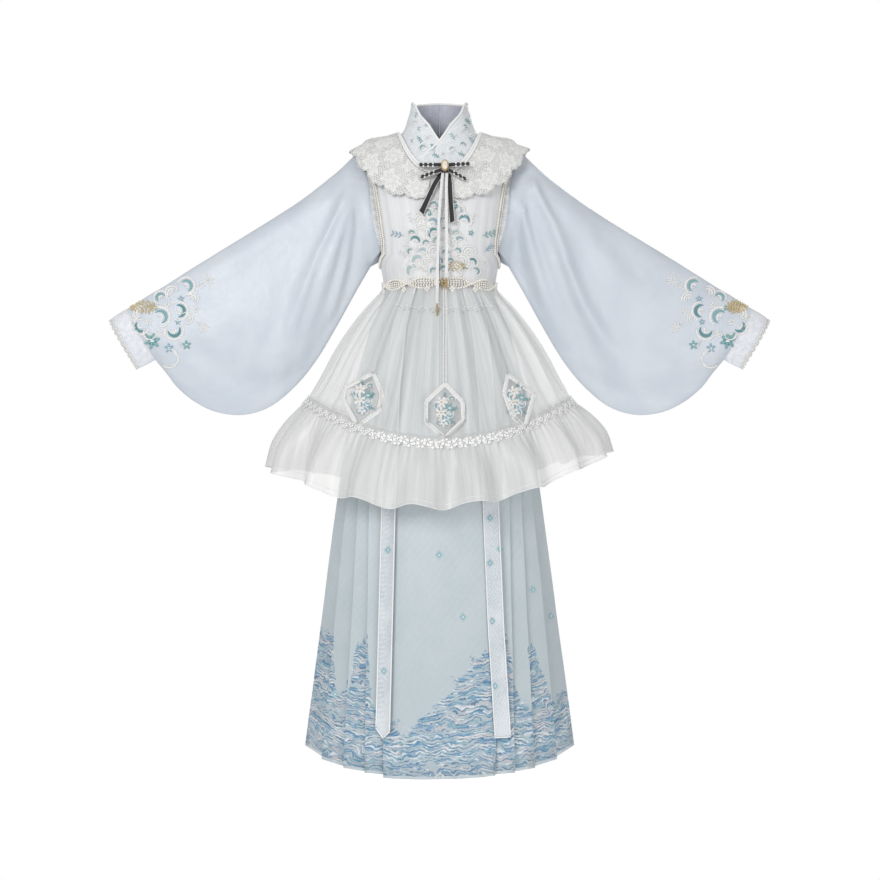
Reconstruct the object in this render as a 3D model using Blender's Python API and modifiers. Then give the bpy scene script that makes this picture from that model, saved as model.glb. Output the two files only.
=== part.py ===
"""Hanfu lolita dress set, filled out as if worn. Metres, +Z up, the front faces -Y.

The origin is at the base of the neck, where a wearer holds the set up. In the names, left is -X and
right is +X, as the front is seen. Every cloth piece is a thin closed wall that is worked out from
rings: an angle of 0 is the centre front, 90 degrees is the right side and 180 degrees the back.
"""
import math
from collections import namedtuple

import bpy
from mathutils import Vector

# Cloth walls and the clearances between pieces
SATIN_WALL = 0.0015
ORGANZA_WALL = 0.0010
GATHERED_WALL = 0.0013
LACE_WALL = 0.0012
RIBBON_WALL = 0.0010
SEAM_GAP = 0.0004
SEAM_ANGLE = 0.0012
NORMAL_STEP = 0.01

Section = namedtuple("Section", "front_z side_z back_z half_width front_depth back_depth bend")

# The shirt's outer surface, from the top of the collar to the shirt's hem
BODY = (
    Section(0.066, 0.066, 0.080, 0.058, 0.055, 0.055, 2.0),
    Section(0.028, 0.030, 0.042, 0.067, 0.060, 0.058, 2.0),
    Section(-0.030, 0.002, 0.014, 0.079, 0.067, 0.064, 2.0),
    Section(-0.085, -0.008, 0.002, 0.105, 0.082, 0.076, 2.0),
    Section(-0.125, -0.024, -0.040, 0.160, 0.094, 0.092, 2.4),
    Section(-0.165, -0.095, -0.105, 0.150, 0.104, 0.098, 3.0),
    Section(-0.205, -0.165, -0.170, 0.143, 0.112, 0.099, 3.0),
    Section(-0.245, -0.225, -0.230, 0.134, 0.107, 0.095, 3.0),
    Section(-0.276, -0.270, -0.272, 0.1235, 0.1000, 0.0912, 3.0),
    Section(-0.330, -0.330, -0.330, 0.111, 0.091, 0.085, 3.0),
    Section(-0.395, -0.395, -0.395, 0.120, 0.098, 0.093, 3.0),
)
SHOULDER, UNDERARM, WAIST = 4, 8, 9

# Where the armhole cuts the panels: the place on the body table and the angle from the centre
Cut = namedtuple("Cut", "place angle")
SHIRT_ARMHOLE = (
    Cut(4.0, 90), Cut(4.35, 77), Cut(5.0, 67), Cut(6.0, 64), Cut(7.0, 64), Cut(7.6, 69), Cut(8.0, 90),
)
VEST_ARMHOLE = (
    Cut(4.0, 87.5), Cut(4.3, 73), Cut(5.0, 63), Cut(6.0, 60), Cut(7.0, 60), Cut(7.75, 65), Cut(8.3, 90),
)
PANEL_POINTS = 13
SHIRT_ROWS = (3.0, 3.4, 4.0, 4.35, 5.0, 6.0, 7.0, 7.6, 7.85, 8.0, 8.5, 9.0, 10.0)
VEST_ROWS = (2.8, 3.4, 4.0, 4.3, 5.0, 6.0, 7.0, 7.75, 8.05, 8.3, 9.0)

# How far the vest stands off the shirt: at the side, more at the middle, neck, shoulder tip and waist
VEST_LIFT_SIDE = 0.0028
VEST_LIFT_MIDDLE = 0.0024
VEST_LIFT_NECK = 0.0014
VEST_LIFT_TIP = 0.0008
VEST_LIFT_WAIST = 0.0040
VEST_CENTRE_GAP = 0.004
Strip = namedtuple("Strip", "drop rise")
BINDING = (Strip(0.0, 0.0018), Strip(0.07, 0.0030), Strip(0.14, 0.0018))
BINDING_POINTS = 32
BINDING_END_ANGLE = 0.008

# The crossed collar: its top edge falls from the nape to past the centre front
COLLAR_EDGE = (
    Cut(3.00, -26), Cut(2.42, -14), Cut(2.00, 0), Cut(1.44, 18), Cut(1.07, 35), Cut(0.45, 55),
    Cut(0.14, 72), Cut(0.08, 95), Cut(0.0, 130), Cut(0.0, 180),
)
COLLAR_STEPS = 4
COLLAR_OVER_LIFT = 0.0026
COLLAR_COLUMN_ANGLE = 10.0
COLLAR_TUCK = 0.25
SHIRT_TUCK = 0.0026

# The pipa sleeve, right side: the top fold and the hanging lower edge, from the armhole to the cuff
Sleeve = namedtuple("Sleeve", "top_x top_z low_x low_z half_thick")
SLEEVE = (
    Sleeve(0.2055, -0.0690, 0.1470, -0.2810, 0.056),
    Sleeve(0.2630, -0.1166, 0.1810, -0.3400, 0.052),
    Sleeve(0.3184, -0.1558, 0.2215, -0.4130, 0.047),
    Sleeve(0.3780, -0.1940, 0.2630, -0.4815, 0.043),
    Sleeve(0.4377, -0.2305, 0.3085, -0.5370, 0.040),
    Sleeve(0.4930, -0.2640, 0.3615, -0.5795, 0.038),
    Sleeve(0.5442, -0.2958, 0.4170, -0.5965, 0.036),
    Sleeve(0.5868, -0.3228, 0.4715, -0.5915, 0.034),
    Sleeve(0.6188, -0.3415, 0.5175, -0.5710, 0.031),
    Sleeve(0.6380, -0.3540, 0.5565, -0.5400, 0.028),
    Sleeve(0.6528, -0.3635, 0.5825, -0.5070, 0.025),
    Sleeve(0.6656, -0.3710, 0.6060, -0.4790, 0.022),
)
CUFF = (
    Sleeve(0.6660, -0.3713, 0.6064, -0.4793, 0.0225),
    Sleeve(0.6965, -0.3905, 0.6385, -0.4960, 0.0215),
)
CUFF_LACE = (
    Sleeve(0.6969, -0.3908, 0.6389, -0.4963, 0.0215),
    Sleeve(0.7035, -0.3957, 0.6460, -0.5000, 0.0215),
)
SLEEVE_HALF_POINTS = 9
ARMHOLE_GAP = 0.0030
BELLY_THINNING = 0.55
CUFF_SCALLOPS = 8
CUFF_SCALLOP_DEPTH = 0.0035

# Soft folds of a sleeve: each starts and ends at a station along it and a share of the way down
Fold = namedtuple("Fold", "start_station start_share end_station end_share height width")
SLEEVE_FOLDS = (
    Fold(0.2, 0.10, 3.4, 0.80, 0.009, 0.09),
    Fold(0.2, 0.30, 1.8, 0.92, 0.008, 0.10),
    Fold(0.6, 0.04, 6.2, 0.66, 0.006, 0.08),
    Fold(0.4, 0.20, 2.6, 0.90, -0.007, 0.07),
)

# The lace cape over each shoulder: its outer edge, which stands off over the top of the sleeve
CAPE_EDGE = Section(-0.160, -0.0340, -0.100, 0.194, 0.1140, 0.112, 3.4)
CAPE_SHARES = (0.0, 0.5, 1.0)
CAPE_NECK_DROP = 0.2
CAPE_LIFT = 0.0026
CAPE_FRONT_ANGLE = 0.12
CAPE_SCALLOPS = 11
CAPE_SCALLOP_POINTS = 3
CAPE_SCALLOP_DEPTH = 0.22

# Gathered peplum, from the waist seam to the ruffle seam, and the ruffle below it
PEPLUM = (
    Section(-0.330, -0.330, -0.330, 0.1195, 0.0990, 0.0930, 2.0),
    Section(-0.350, -0.345, -0.350, 0.1300, 0.1120, 0.1070, 2.0),
    Section(-0.395, -0.377, -0.390, 0.1580, 0.1320, 0.1260, 2.0),
    Section(-0.447, -0.415, -0.437, 0.1860, 0.1520, 0.1470, 2.0),
    Section(-0.492, -0.447, -0.478, 0.2080, 0.1670, 0.1620, 2.0),
    Section(-0.536, -0.479, -0.518, 0.2270, 0.1810, 0.1760, 2.0),
    Section(-0.580, -0.511, -0.556, 0.2450, 0.1940, 0.1890, 2.0),
    Section(-0.622, -0.541, -0.592, 0.2640, 0.2060, 0.2010, 2.0),
    Section(-0.658, -0.569, -0.622, 0.2840, 0.2180, 0.2120, 2.0),
)
RUFFLE = (
    Section(-0.6584, -0.5694, -0.6224, 0.2842, 0.2182, 0.2122, 2.0),
    Section(-0.700, -0.603, -0.664, 0.3120, 0.2360, 0.2300, 2.0),
    Section(-0.742, -0.648, -0.708, 0.3370, 0.2500, 0.2440, 2.0),
    Section(-0.778, -0.692, -0.750, 0.3460, 0.2620, 0.2540, 2.0),
)
Gather = namedtuple("Gather", "place height")
PEPLUM_GATHERS = (
    Gather(0.0, 0.0), Gather(1.2, 0.0025), Gather(3.0, 0.0062), Gather(5.2, 0.0068), Gather(7.0, 0.0040),
    Gather(8.0, 0.0),
)
RUFFLE_GATHERS = (Gather(0.0, 0.0), Gather(1.0, 0.009), Gather(2.0, 0.016), Gather(3.0, 0.021))
PEPLUM_FOLDS = 22
PEPLUM_FOLD_POINTS = 4
RUFFLE_WAVES = 18
RUFFLE_WAVE_POINTS = 6
RUFFLE_CREST_ANGLE = 0.20
RUFFLE_TILT = 0.045

# Diamond patches on the front of the peplum: corners in the front view, widest between high_z and low_z
PATCH_COLUMNS = "name top_x top_z middle_x high_z low_z half_width bottom_x bottom_z lift"
Patch = namedtuple("Patch", PATCH_COLUMNS)
PATCHES = (
    Patch("diamond_left", -0.134, -0.515, -0.154, -0.552, -0.586, 0.040, -0.166, -0.620, 0.0073),
    Patch("diamond_centre", 0.011, -0.5375, 0.011, -0.571, -0.6125, 0.0385, 0.011, -0.646, 0.0090),
    Patch("diamond_right", 0.136, -0.519, 0.156, -0.555, -0.588, 0.037, 0.168, -0.624, 0.0071),
)
PATCH_TIP = 0.003

# The pleated skirt: pleating grows from 0 at the waist to 1
SkirtSection = namedtuple("SkirtSection", "z half_width front_depth back_depth pleating")
SKIRT = (
    SkirtSection(-0.3354, 0.1152, 0.0952, 0.0892, 0.0),
    SkirtSection(-0.3650, 0.1260, 0.1050, 0.1000, 0.0),
    SkirtSection(-0.4200, 0.1480, 0.1220, 0.1170, 0.35),
    SkirtSection(-0.5500, 0.1810, 0.1430, 0.1380, 0.8),
    SkirtSection(-0.7860, 0.2120, 0.1650, 0.1610, 1.0),
    SkirtSection(-1.3110, 0.2810, 0.2145, 0.2110, 1.0),
)
WAISTBAND_TOP_Z = -0.300
WAISTBAND_LIFT = 0.0027
WAISTBAND_POINTS = 36
HEM_SIDE_RISE = 0.022
HEM_TILT = 0.020
Pleat = namedtuple("Pleat", "waist_angle hem_angle")
PLEATS = (Pleat(58, 22.5), Pleat(63, 31), Pleat(68, 41.5), Pleat(73, 55.5), Pleat(78, 76))
PLEAT_HEIGHT = 0.009
PLEAT_BLUNT = 0.003
PLEAT_HOLLOW = 0.0015
PLEAT_TUCK = 0.005
TUCK_START = 0.6
FLAT_SPACING = 0.0022
PANEL_COLUMNS = 9

# Straps that hang from the waistband, with x at each height
Hang = namedtuple("Hang", "z left_x right_x")
STRAPS = (
    Hang(-0.337, -0.060, 0.060), Hang(-0.365, -0.068, 0.068), Hang(-0.42, -0.078, 0.078),
    Hang(-0.55, -0.089, 0.089), Hang(-0.786, -0.0965, 0.0975), Hang(-1.02, -0.102, 0.107),
    Hang(-1.19, -0.106, 0.117), Hang(-1.235, -0.107, 0.1195),
)
STRAP_HALF_WIDTH = 0.014
STRAP_LIFT = 0.0020
STRAP_POINT = 0.036

# Waist chain
CHAIN_RADIUS = 0.0045
CHAIN_CLEARANCE = 0.0009
CHAIN_Z = -0.328
CHAIN_POINTS = 36
CHAIN_SIDES = 6

# The lace band over the ruffle seam, as a table, a place on it and a height
Band = namedtuple("Band", "table place lift")
SEAM_LACE = (Band(PEPLUM, 7.5, 0.0046), Band(PEPLUM, 8.0, 0.0022), Band(RUFFLE, 0.22, 0.0046))
SEAM_LACE_POINTS = 52

# Organza frills along the vest's armholes, between two places on the body table
FRILL_START, FRILL_END = 4.55, 7.3
FRILL_POINTS = 17
FRILL_WAVES = 4
FRILL_WIDTH = 0.013
FRILL_WAVE_HEIGHT = 0.0022

# Bow, brooch and ribbon ties on the chest
BOW_X, BOW_Z = 0.011, -0.090
KNOT_SIZE = Vector((0.015, 0.0129, 0.016))
KNOT_DROP = 0.005
KNOT_Y = -0.1028
LOOP_WIDTH = 0.0095
Loop = namedtuple("Loop", "name reach start_z end_z front_y depth mirrored")
LOOPS = (
    Loop("bow_loop_upper_left", 0.053, 0.0015, 0.0020, -0.1085, 0.0080, True),
    Loop("bow_loop_upper_right", 0.051, 0.0015, 0.0040, -0.1085, 0.0080, False),
    Loop("bow_loop_lower_left", 0.050, -0.0085, -0.0235, -0.1085, 0.0080, True),
    Loop("bow_loop_lower_right", 0.044, -0.0085, -0.0280, -0.1085, 0.0080, False),
)
LOOP_TURN_POINTS = 6
LOOP_SWELL = 0.0015
LOOP_PINCH = 0.0005
TAIL_SLANT = 0.0025
KNOT_BEVEL = 0.0012
PLATE_SIZE = Vector((0.0075, 0.0115, 0.0024))
CAMEO_SIZE = Vector((0.0058, 0.0028, 0.0094))
Strand = namedtuple("Strand", "x z front_y")
TAILS = {
    "bow_tail_left": (
        Strand(0.0040, -0.1034, -0.0977), Strand(-0.0015, -0.112, -0.0999), Strand(-0.010, -0.128, -0.1105),
        Strand(-0.022, -0.155, -0.1175), Strand(-0.037, -0.189, -0.1210),
    ),
    "bow_tail_right": (
        Strand(0.0185, -0.1034, -0.0977), Strand(0.0195, -0.112, -0.0999), Strand(0.021, -0.130, -0.1120),
        Strand(0.023, -0.168, -0.1200), Strand(0.026, -0.209, -0.1270),
    ),
}
TAIL_WIDTH = 0.010
TIES = {
    "ribbon_tie_left": (
        Strand(0.0070, -0.1035, -0.1060), Strand(0.0040, -0.130, -0.1160), Strand(0.000, -0.180, -0.1270),
        Strand(-0.002, -0.230, -0.1300), Strand(-0.004, -0.300, -0.1205), Strand(-0.0045, -0.338, -0.1210),
        Strand(-0.005, -0.374, -0.1425),
    ),
    "ribbon_tie_right": (
        Strand(0.0150, -0.1035, -0.1060), Strand(0.0140, -0.130, -0.1160), Strand(0.0140, -0.180, -0.1270),
        Strand(0.0145, -0.230, -0.1300), Strand(0.0145, -0.290, -0.1210), Strand(0.0140, -0.3195, -0.1175),
    ),
}
TIE_WIDTH = 0.006
TIE_TIP_HEIGHT = {"ribbon_tie_left": 0.026, "ribbon_tie_right": 0.024}
TIE_TIP_RADIUS = 0.0036

# Colours as linear values, with roughness and metallic
Finish = namedtuple("Finish", "colour roughness metallic")
FINISHES = {
    "blue_satin": Finish((0.60, 0.66, 0.74), 0.38, 0.0),
    "brocade": Finish((0.45, 0.60, 0.66), 0.45, 0.0),
    "organza": Finish((0.72, 0.74, 0.74), 0.40, 0.0),
    "lace": Finish((0.85, 0.86, 0.86), 0.75, 0.0),
    "skirt_jacquard": Finish((0.50, 0.60, 0.64), 0.45, 0.0),
    "pearl": Finish((0.82, 0.76, 0.64), 0.22, 0.0),
    "black_ribbon": Finish((0.012, 0.012, 0.013), 0.50, 0.0),
    "gold": Finish((0.62, 0.46, 0.22), 0.30, 1.0),
    "cameo": Finish((0.82, 0.74, 0.60), 0.35, 0.0),
}


def clear_scene():
    for thing in list(bpy.data.objects):
        bpy.data.objects.remove(thing, do_unlink=True)


def make_materials():
    """One Principled material for each finish."""
    materials = {}
    for name, finish in FINISHES.items():
        material = bpy.data.materials.new(name)
        material.use_nodes = True
        shader = material.node_tree.nodes["Principled BSDF"]
        shader.inputs["Base Color"].default_value = (*finish.colour, 1.0)
        shader.inputs["Roughness"].default_value = finish.roughness
        shader.inputs["Metallic"].default_value = finish.metallic
        materials[name] = material
    return materials


def ease(value):
    """Smooth step from 0 to 1."""
    value = min(max(value, 0.0), 1.0)
    return value * value * (3.0 - 2.0 * value)


def between(rows, key, field, value):
    """Read a named column of a short table at a value of its key column, with straight runs."""
    for low, high in zip(rows, rows[1:]):
        first, last = getattr(low, key), getattr(high, key)
        if (first <= value <= last) or (first >= value >= last):
            share = (value - first) / (last - first)
            return getattr(low, field) + share * (getattr(high, field) - getattr(low, field))
    nearest = min(rows[0], rows[-1], key=lambda row: abs(value - getattr(row, key)))
    return getattr(nearest, field)


def section_at(table, place):
    """Blend the rows of a table at a fractional row number with a smooth curve through them."""
    last = len(table) - 1
    place = min(max(place, 0.0), float(last))
    row = min(int(place), last - 1)
    t = place - row
    a, b, c, d = (table[min(max(row + step, 0), last)] for step in (-1, 0, 1, 2))
    values = (
        q + 0.5 * t * (r - p + t * (2 * p - 5 * q + 4 * r - s + t * (3 * q - p - 3 * r + s)))
        for p, q, r, s in zip(a, b, c, d)
    )
    return type(table[0])(*values)


def ring_point(section, angle):
    """A point on a section's ring, which dips from the sides to the front and to the back."""
    front = math.cos(angle) > 0.0
    depth = section.front_depth if front else section.back_depth
    level = section.front_z if front else section.back_z
    dip = 1.0 - abs(math.sin(angle)) ** section.bend
    z = section.side_z + (level - section.side_z) * dip
    return Vector((section.half_width * math.sin(angle), -depth * math.cos(angle), z))


def on_surface(table, angle, place, lift=0.0):
    """A point of a table's surface, moved out along its normal by the lift."""
    point = ring_point(section_at(table, place), angle)
    if lift:
        here = section_at(table, place)
        around = ring_point(here, angle + NORMAL_STEP) - ring_point(here, angle - NORMAL_STEP)
        below = ring_point(section_at(table, place + NORMAL_STEP), angle)
        down = below - ring_point(section_at(table, place - NORMAL_STEP), angle)
        point += down.cross(around).normalized() * lift
    return point


def facing_surface(table, x, z, lift):
    """The point on the front of a table's surface that is seen at x and z."""
    low, high = 0.0, float(len(table) - 1)
    for _ in range(30):
        place = (low + high) / 2
        section = section_at(table, place)
        angle = math.asin(min(max(x / section.half_width, -1.0), 1.0))
        if ring_point(section, angle).z > z:
            low = place
        else:
            high = place
    return on_surface(table, angle, place, lift)


def line_direction(points, index, wraps):
    """The direction of a line of points at one of them, carried on through an open end."""
    count = len(points)
    steps = []
    for offset in (-2, -1, 0, 1):
        start, end = index + offset, index + offset + 1
        within = wraps or (start >= 0 and end < count)
        steps.append((points[end % count] - points[start % count]).normalized() if within else None)
    before, after = steps[1], steps[2]
    if before is None:
        return after * 1.5 - steps[3] * 0.5 if steps[3] else after
    if after is None:
        return before * 1.5 - steps[0] * 0.5 if steps[0] else before
    return before + after


def grid_normals(grid, wraps):
    """Outward normals of a grid whose rows run down the cloth and whose columns run to the right."""
    columns = [[row[j] for row in grid] for j in range(len(grid[0]))]
    normals = []
    for i, row in enumerate(grid):
        line = []
        for j in range(len(row)):
            around = line_direction(row, j, wraps)
            down = line_direction(columns[j], i, False)
            line.append(down.cross(around).normalized())
        normals.append(line)
    return normals


def add_mesh(name, points, faces, material):
    mesh = bpy.data.meshes.new(name)
    mesh.from_pydata([tuple(point) for point in points], [], faces)
    mesh.materials.append(material)
    mesh.shade_smooth()
    mesh.set_sharp_from_angle(angle=math.radians(50))
    thing = bpy.data.objects.new(name, mesh)
    COLLECTION.objects.link(thing)
    return thing


def inside(grid, wall, wraps=False):
    """The inner face of a cloth: its grid moved in by the wall along its own normals."""
    normals = grid_normals(grid, wraps)
    return [[p - n * wall for p, n in zip(row, line)] for row, line in zip(grid, normals)]


def cloth_solid(name, outer, inner, material, wraps=False):
    """One closed wall of cloth: an outer grid, an inner grid, and the rims between them."""
    rows, columns = len(outer), len(outer[0])
    points = [point for row in outer + inner for point in row]
    inner_start = rows * columns
    spans = columns if wraps else columns - 1

    def at(i, j, inner=False):
        return (inner_start if inner else 0) + i * columns + j % columns

    faces = []
    for i in range(rows - 1):
        for j in range(spans):
            faces.append((at(i, j), at(i + 1, j), at(i + 1, j + 1), at(i, j + 1)))
            faces.append((at(i, j, True), at(i, j + 1, True), at(i + 1, j + 1, True), at(i + 1, j, True)))
    for j in range(spans):
        end = rows - 1
        faces.append((at(0, j), at(0, j + 1), at(0, j + 1, True), at(0, j, True)))
        faces.append((at(end, j + 1), at(end, j), at(end, j, True), at(end, j + 1, True)))
    if not wraps:
        end = columns - 1
        for i in range(rows - 1):
            faces.append((at(i + 1, 0), at(i, 0), at(i, 0, True), at(i + 1, 0, True)))
            faces.append((at(i, end), at(i + 1, end), at(i + 1, end, True), at(i, end, True)))
    return add_mesh(name, points, faces, material)


def mirrored(grid):
    """The same grid on the other side, still with its outer face out."""
    return [[Vector((-point.x, point.y, point.z)) for point in reversed(row)] for row in grid]


def armhole_limit(cuts, place):
    """How far a panel reaches round at a place: to the side seam, or to the armhole's edge."""
    if cuts[0].place <= place <= cuts[-1].place:
        return math.radians(between(cuts, "place", "angle", place))
    return math.pi / 2


def neck_place(angle):
    """The place of the vest's round neckline on the body table."""
    fall = 1.0 if math.cos(angle) > 0.0 else 0.3
    return 2.3 + fall * math.cos(angle) ** 2


def vest_lift(angle, place):
    """How far the vest stands off the shirt: least on the side seam, most over the waistband."""
    lift = VEST_LIFT_SIDE + VEST_LIFT_MIDDLE * abs(math.cos(angle))
    lift += VEST_LIFT_NECK * (1.0 - ease((place - 2.7) / 0.8))
    lift += VEST_LIFT_TIP * (1.0 - ease(abs(place - SHOULDER) / 0.6)) * abs(math.sin(angle))
    return lift + VEST_LIFT_WAIST * ease((place - 7.5) / 1.5)


def panel_grid(rows, cuts, columns, start_side, end_side, top_place, lift, centre, wall=0.0):
    """A body panel between two sides, -1 to 1 as shares of its reach, about a centre angle."""
    grid = []
    for place in rows:
        reach = armhole_limit(cuts, place) - SEAM_ANGLE
        line = []
        for step in range(columns):
            side = start_side + (end_side - start_side) * step / (columns - 1)
            angle = centre + side * reach
            pull = 1.0 - ease((place - rows[0]) / (SHOULDER - rows[0])) if place < SHOULDER else 0.0
            fitted = place + (top_place(angle) - rows[0]) * pull
            line.append(on_surface(BODY, angle, fitted, lift(angle, fitted) - wall))
        grid.append(line)
    return grid


def build_shirt_body(satin):
    """Front and back of the shirt, whose top edge is tucked just behind the collar."""
    def top_place(angle):
        return neck_place(angle) + COLLAR_TUCK - 0.06

    def tucked_lift(angle, place):
        return -SHIRT_TUCK * (1.0 - ease((place - top_place(angle)) / 0.6))

    for name, centre in (("shirt_front", 0.0), ("shirt_back", math.pi)):
        outer, inner = (
            panel_grid(SHIRT_ROWS, SHIRT_ARMHOLE, PANEL_POINTS, -1, 1, top_place, tucked_lift, centre, wall)
            for wall in (0.0, SATIN_WALL)
        )
        cloth_solid(name, outer, inner, satin)


def build_vest_body(organza):
    half = (PANEL_POINTS + 1) // 2
    panels = (
        ("vest_front_left", half, -1.0, -VEST_CENTRE_GAP, 0.0),
        ("vest_front_right", half, VEST_CENTRE_GAP, 1.0, 0.0),
        ("vest_back", PANEL_POINTS, -1.0, 1.0, math.pi),
    )
    for name, columns, start, end, centre in panels:
        outer, inner = (
            panel_grid(VEST_ROWS, VEST_ARMHOLE, columns, start, end, neck_place, vest_lift, centre, wall)
            for wall in (0.0, ORGANZA_WALL)
        )
        cloth_solid(name, outer, inner, organza)


def build_neck_binding(lace):
    """The double piping along the vest's neckline, open at the centre front."""
    grid = []
    for strip in BINDING:
        line = []
        for step in range(BINDING_POINTS):
            share = step / (BINDING_POINTS - 1)
            angle = BINDING_END_ANGLE + 2 * (math.pi - BINDING_END_ANGLE) * share
            place = neck_place(angle) + strip.drop
            line.append(on_surface(BODY, angle, place, vest_lift(angle, place) + strip.rise))
        grid.append(line)
    cloth_solid("neck_binding", grid, inside(grid, LACE_WALL), lace)


def collar_grid(angles, over, wall):
    """Half of the crossed collar, from its end past the centre front to the centre back."""
    grid = []
    for step in range(COLLAR_STEPS):
        line = []
        for degrees in angles:
            angle = math.radians(degrees)
            top = between(COLLAR_EDGE, "angle", "place", degrees)
            low = neck_place(angle) + COLLAR_TUCK
            place = top + (low - top) * step / (COLLAR_STEPS - 1)
            lift = COLLAR_OVER_LIFT * (1.0 - ease((degrees - 38) / 24)) if over else 0.0
            line.append(on_surface(BODY, angle, place, lift - wall))
        grid.append(line)
    return grid if over else mirrored(grid)


def build_collar(brocade):
    """Two halves of the crossed stand collar: the right one lies over the left one."""
    angles = []
    for low, high in zip(COLLAR_EDGE, COLLAR_EDGE[1:]):
        count = math.ceil((high.angle - low.angle) / COLLAR_COLUMN_ANGLE)
        angles += [low.angle + (high.angle - low.angle) * step / count for step in range(count)]
    angles.append(COLLAR_EDGE[-1].angle - 2 * math.degrees(SEAM_ANGLE))
    for name, over in (("collar_right", True), ("collar_left", False)):
        cloth_solid(name, collar_grid(angles, over, 0.0), collar_grid(angles, over, SATIN_WALL), brocade)


def armhole_ring(half_points):
    """The shirt's armhole edge as a ring: down the back from the shoulder and up the front."""
    top, bottom = SHIRT_ARMHOLE[0].place, SHIRT_ARMHOLE[-1].place
    ring = []
    for step in range(2 * half_points):
        share = step / half_points
        front = share > 1.0
        place = top + (bottom - top) * (2.0 - share if front else share)
        angle = armhole_limit(SHIRT_ARMHOLE, place)
        angle = angle if front else math.pi - angle
        point = on_surface(BODY, angle, place)
        ring.append(point + Vector((ARMHOLE_GAP, 0.0, 0.0)))
    return ring


def fold_height(station, share, folds):
    """Height of the soft folds at a station along the sleeve and a share of the way down it."""
    total = 0.0
    for fold in folds:
        run = fold.end_station - fold.start_station
        along = (station - fold.start_station) / run
        if -0.05 <= along <= 1.05:
            middle = fold.start_share + (fold.end_share - fold.start_share) * along
            off = (share - middle) / fold.width
            swell = math.sin(math.pi * min(max(along, 0.03), 0.97)) ** 0.5
            total += fold.height * math.exp(-off * off) * swell
    return total


def sleeve_ring(section, station, half_points, folds=()):
    """One ring of a sleeve: full at the top, thin towards the hanging lower edge."""
    top = Vector((section.top_x, 0.0, section.top_z))
    low = Vector((section.low_x, 0.0, section.low_z))
    middle = (top + low) / 2
    ring = []
    for step in range(2 * half_points):
        turn = math.pi * step / half_points
        share = (1.0 - math.cos(turn)) / 2
        thick = section.half_thick * (1.0 - BELLY_THINNING * share * share)
        point = middle + (top - middle) * math.cos(turn)
        point.y = thick * math.sin(turn)
        raised = fold_height(station, share, folds) * abs(math.sin(turn)) ** 0.5
        point.y += math.copysign(raised, point.y)
        ring.append(point)
    return ring


def half_of(grid, first, shift):
    """Half of a closed tube's rings from a column on, with its two seam edges moved aside."""
    half = len(grid[0]) // 2
    part = [[row[(first + step) % len(row)].copy() for step in range(half + 1)] for row in grid]
    for row in part:
        row[0].y += shift
        row[-1].y += shift
    return part


def columns_of(grid, first, last, shift, drawn_in):
    """The columns from first to last of a grid, moved aside, with an end drawn in where a seam gap is left."""
    stop = len(grid[0]) if last is None else last + 1
    aside = Vector((0.0, shift, 0.0))
    section = [[point + aside for point in row[first:stop]] for row in grid]
    for row in section:
        for end, beside in drawn_in:
            row[end] = row[end] + (row[beside] - row[end]).normalized() * (SEAM_GAP / 2)
    return section


def build_sleeves(satin, brocade, lace):
    """Each sleeve is parted at its top fold and along its hanging edge into a front and a back."""
    sleeve = [armhole_ring(SLEEVE_HALF_POINTS)]
    sleeve += [sleeve_ring(row, i, SLEEVE_HALF_POINTS, SLEEVE_FOLDS) for i, row in enumerate(SLEEVE)]
    cuff = [sleeve_ring(row, 0, SLEEVE_HALF_POINTS) for row in CUFF]
    scallop_points = 2 * CUFF_SCALLOPS
    edge = [sleeve_ring(row, 0, scallop_points) for row in CUFF_LACE]
    run_x, run_z = SLEEVE[-1].top_x - SLEEVE[0].top_x, SLEEVE[-1].top_z - SLEEVE[0].top_z
    outward = Vector((run_x, 0.0, run_z)).normalized()
    for step, point in enumerate(edge[-1]):
        if step % 2 == 1:
            point -= outward * CUFF_SCALLOP_DEPTH
    sleeve_inner = inside(sleeve, SATIN_WALL, True)
    back = half_of(sleeve, 0, SEAM_GAP / 2), half_of(sleeve_inner, 0, SEAM_GAP / 2)
    front = (
        half_of(sleeve, SLEEVE_HALF_POINTS, -SEAM_GAP / 2),
        half_of(sleeve_inner, SLEEVE_HALF_POINTS, -SEAM_GAP / 2),
    )
    for side, turned in (("left", mirrored), ("right", list)):
        for end, (outer, inner) in (("_front", front), ("_back", back)):
            cloth_solid("sleeve_" + side + end, turned(outer), turned(inner), satin)
        for name, grid, wall, material in (
            ("cuff_", cuff, SATIN_WALL, brocade),
            ("cuff_lace_", edge, LACE_WALL, lace),
        ):
            outer = turned(grid)
            cloth_solid(name + side, outer, inside(outer, wall, True), material, wraps=True)


def build_capes(lace):
    """Scalloped lace over each shoulder, from the centre front to the centre back."""
    columns = CAPE_SCALLOPS * CAPE_SCALLOP_POINTS
    grid = [[] for _ in range(len(CAPE_SHARES) + 1)]
    for step in range(columns + 1):
        share = step / columns
        angle = CAPE_FRONT_ANGLE + (math.pi - 0.004 - CAPE_FRONT_ANGLE) * share
        first = neck_place(angle) + CAPE_NECK_DROP
        for row, down in enumerate(CAPE_SHARES):
            place = first + (SHOULDER - first) * down
            grid[row].append(on_surface(BODY, angle, place, vest_lift(angle, place) + CAPE_LIFT))
        edge = ring_point(CAPE_EDGE, angle)
        scallop = 1.0 - abs(math.sin(math.pi * CAPE_SCALLOPS * share))
        grid[-1].append(edge.lerp(grid[-2][-1], CAPE_SCALLOP_DEPTH * scallop))
    inner = inside(grid, LACE_WALL)
    cloth_solid("lace_cape_right", grid, inner, lace)
    cloth_solid("lace_cape_left", mirrored(grid), mirrored(inner), lace)


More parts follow.
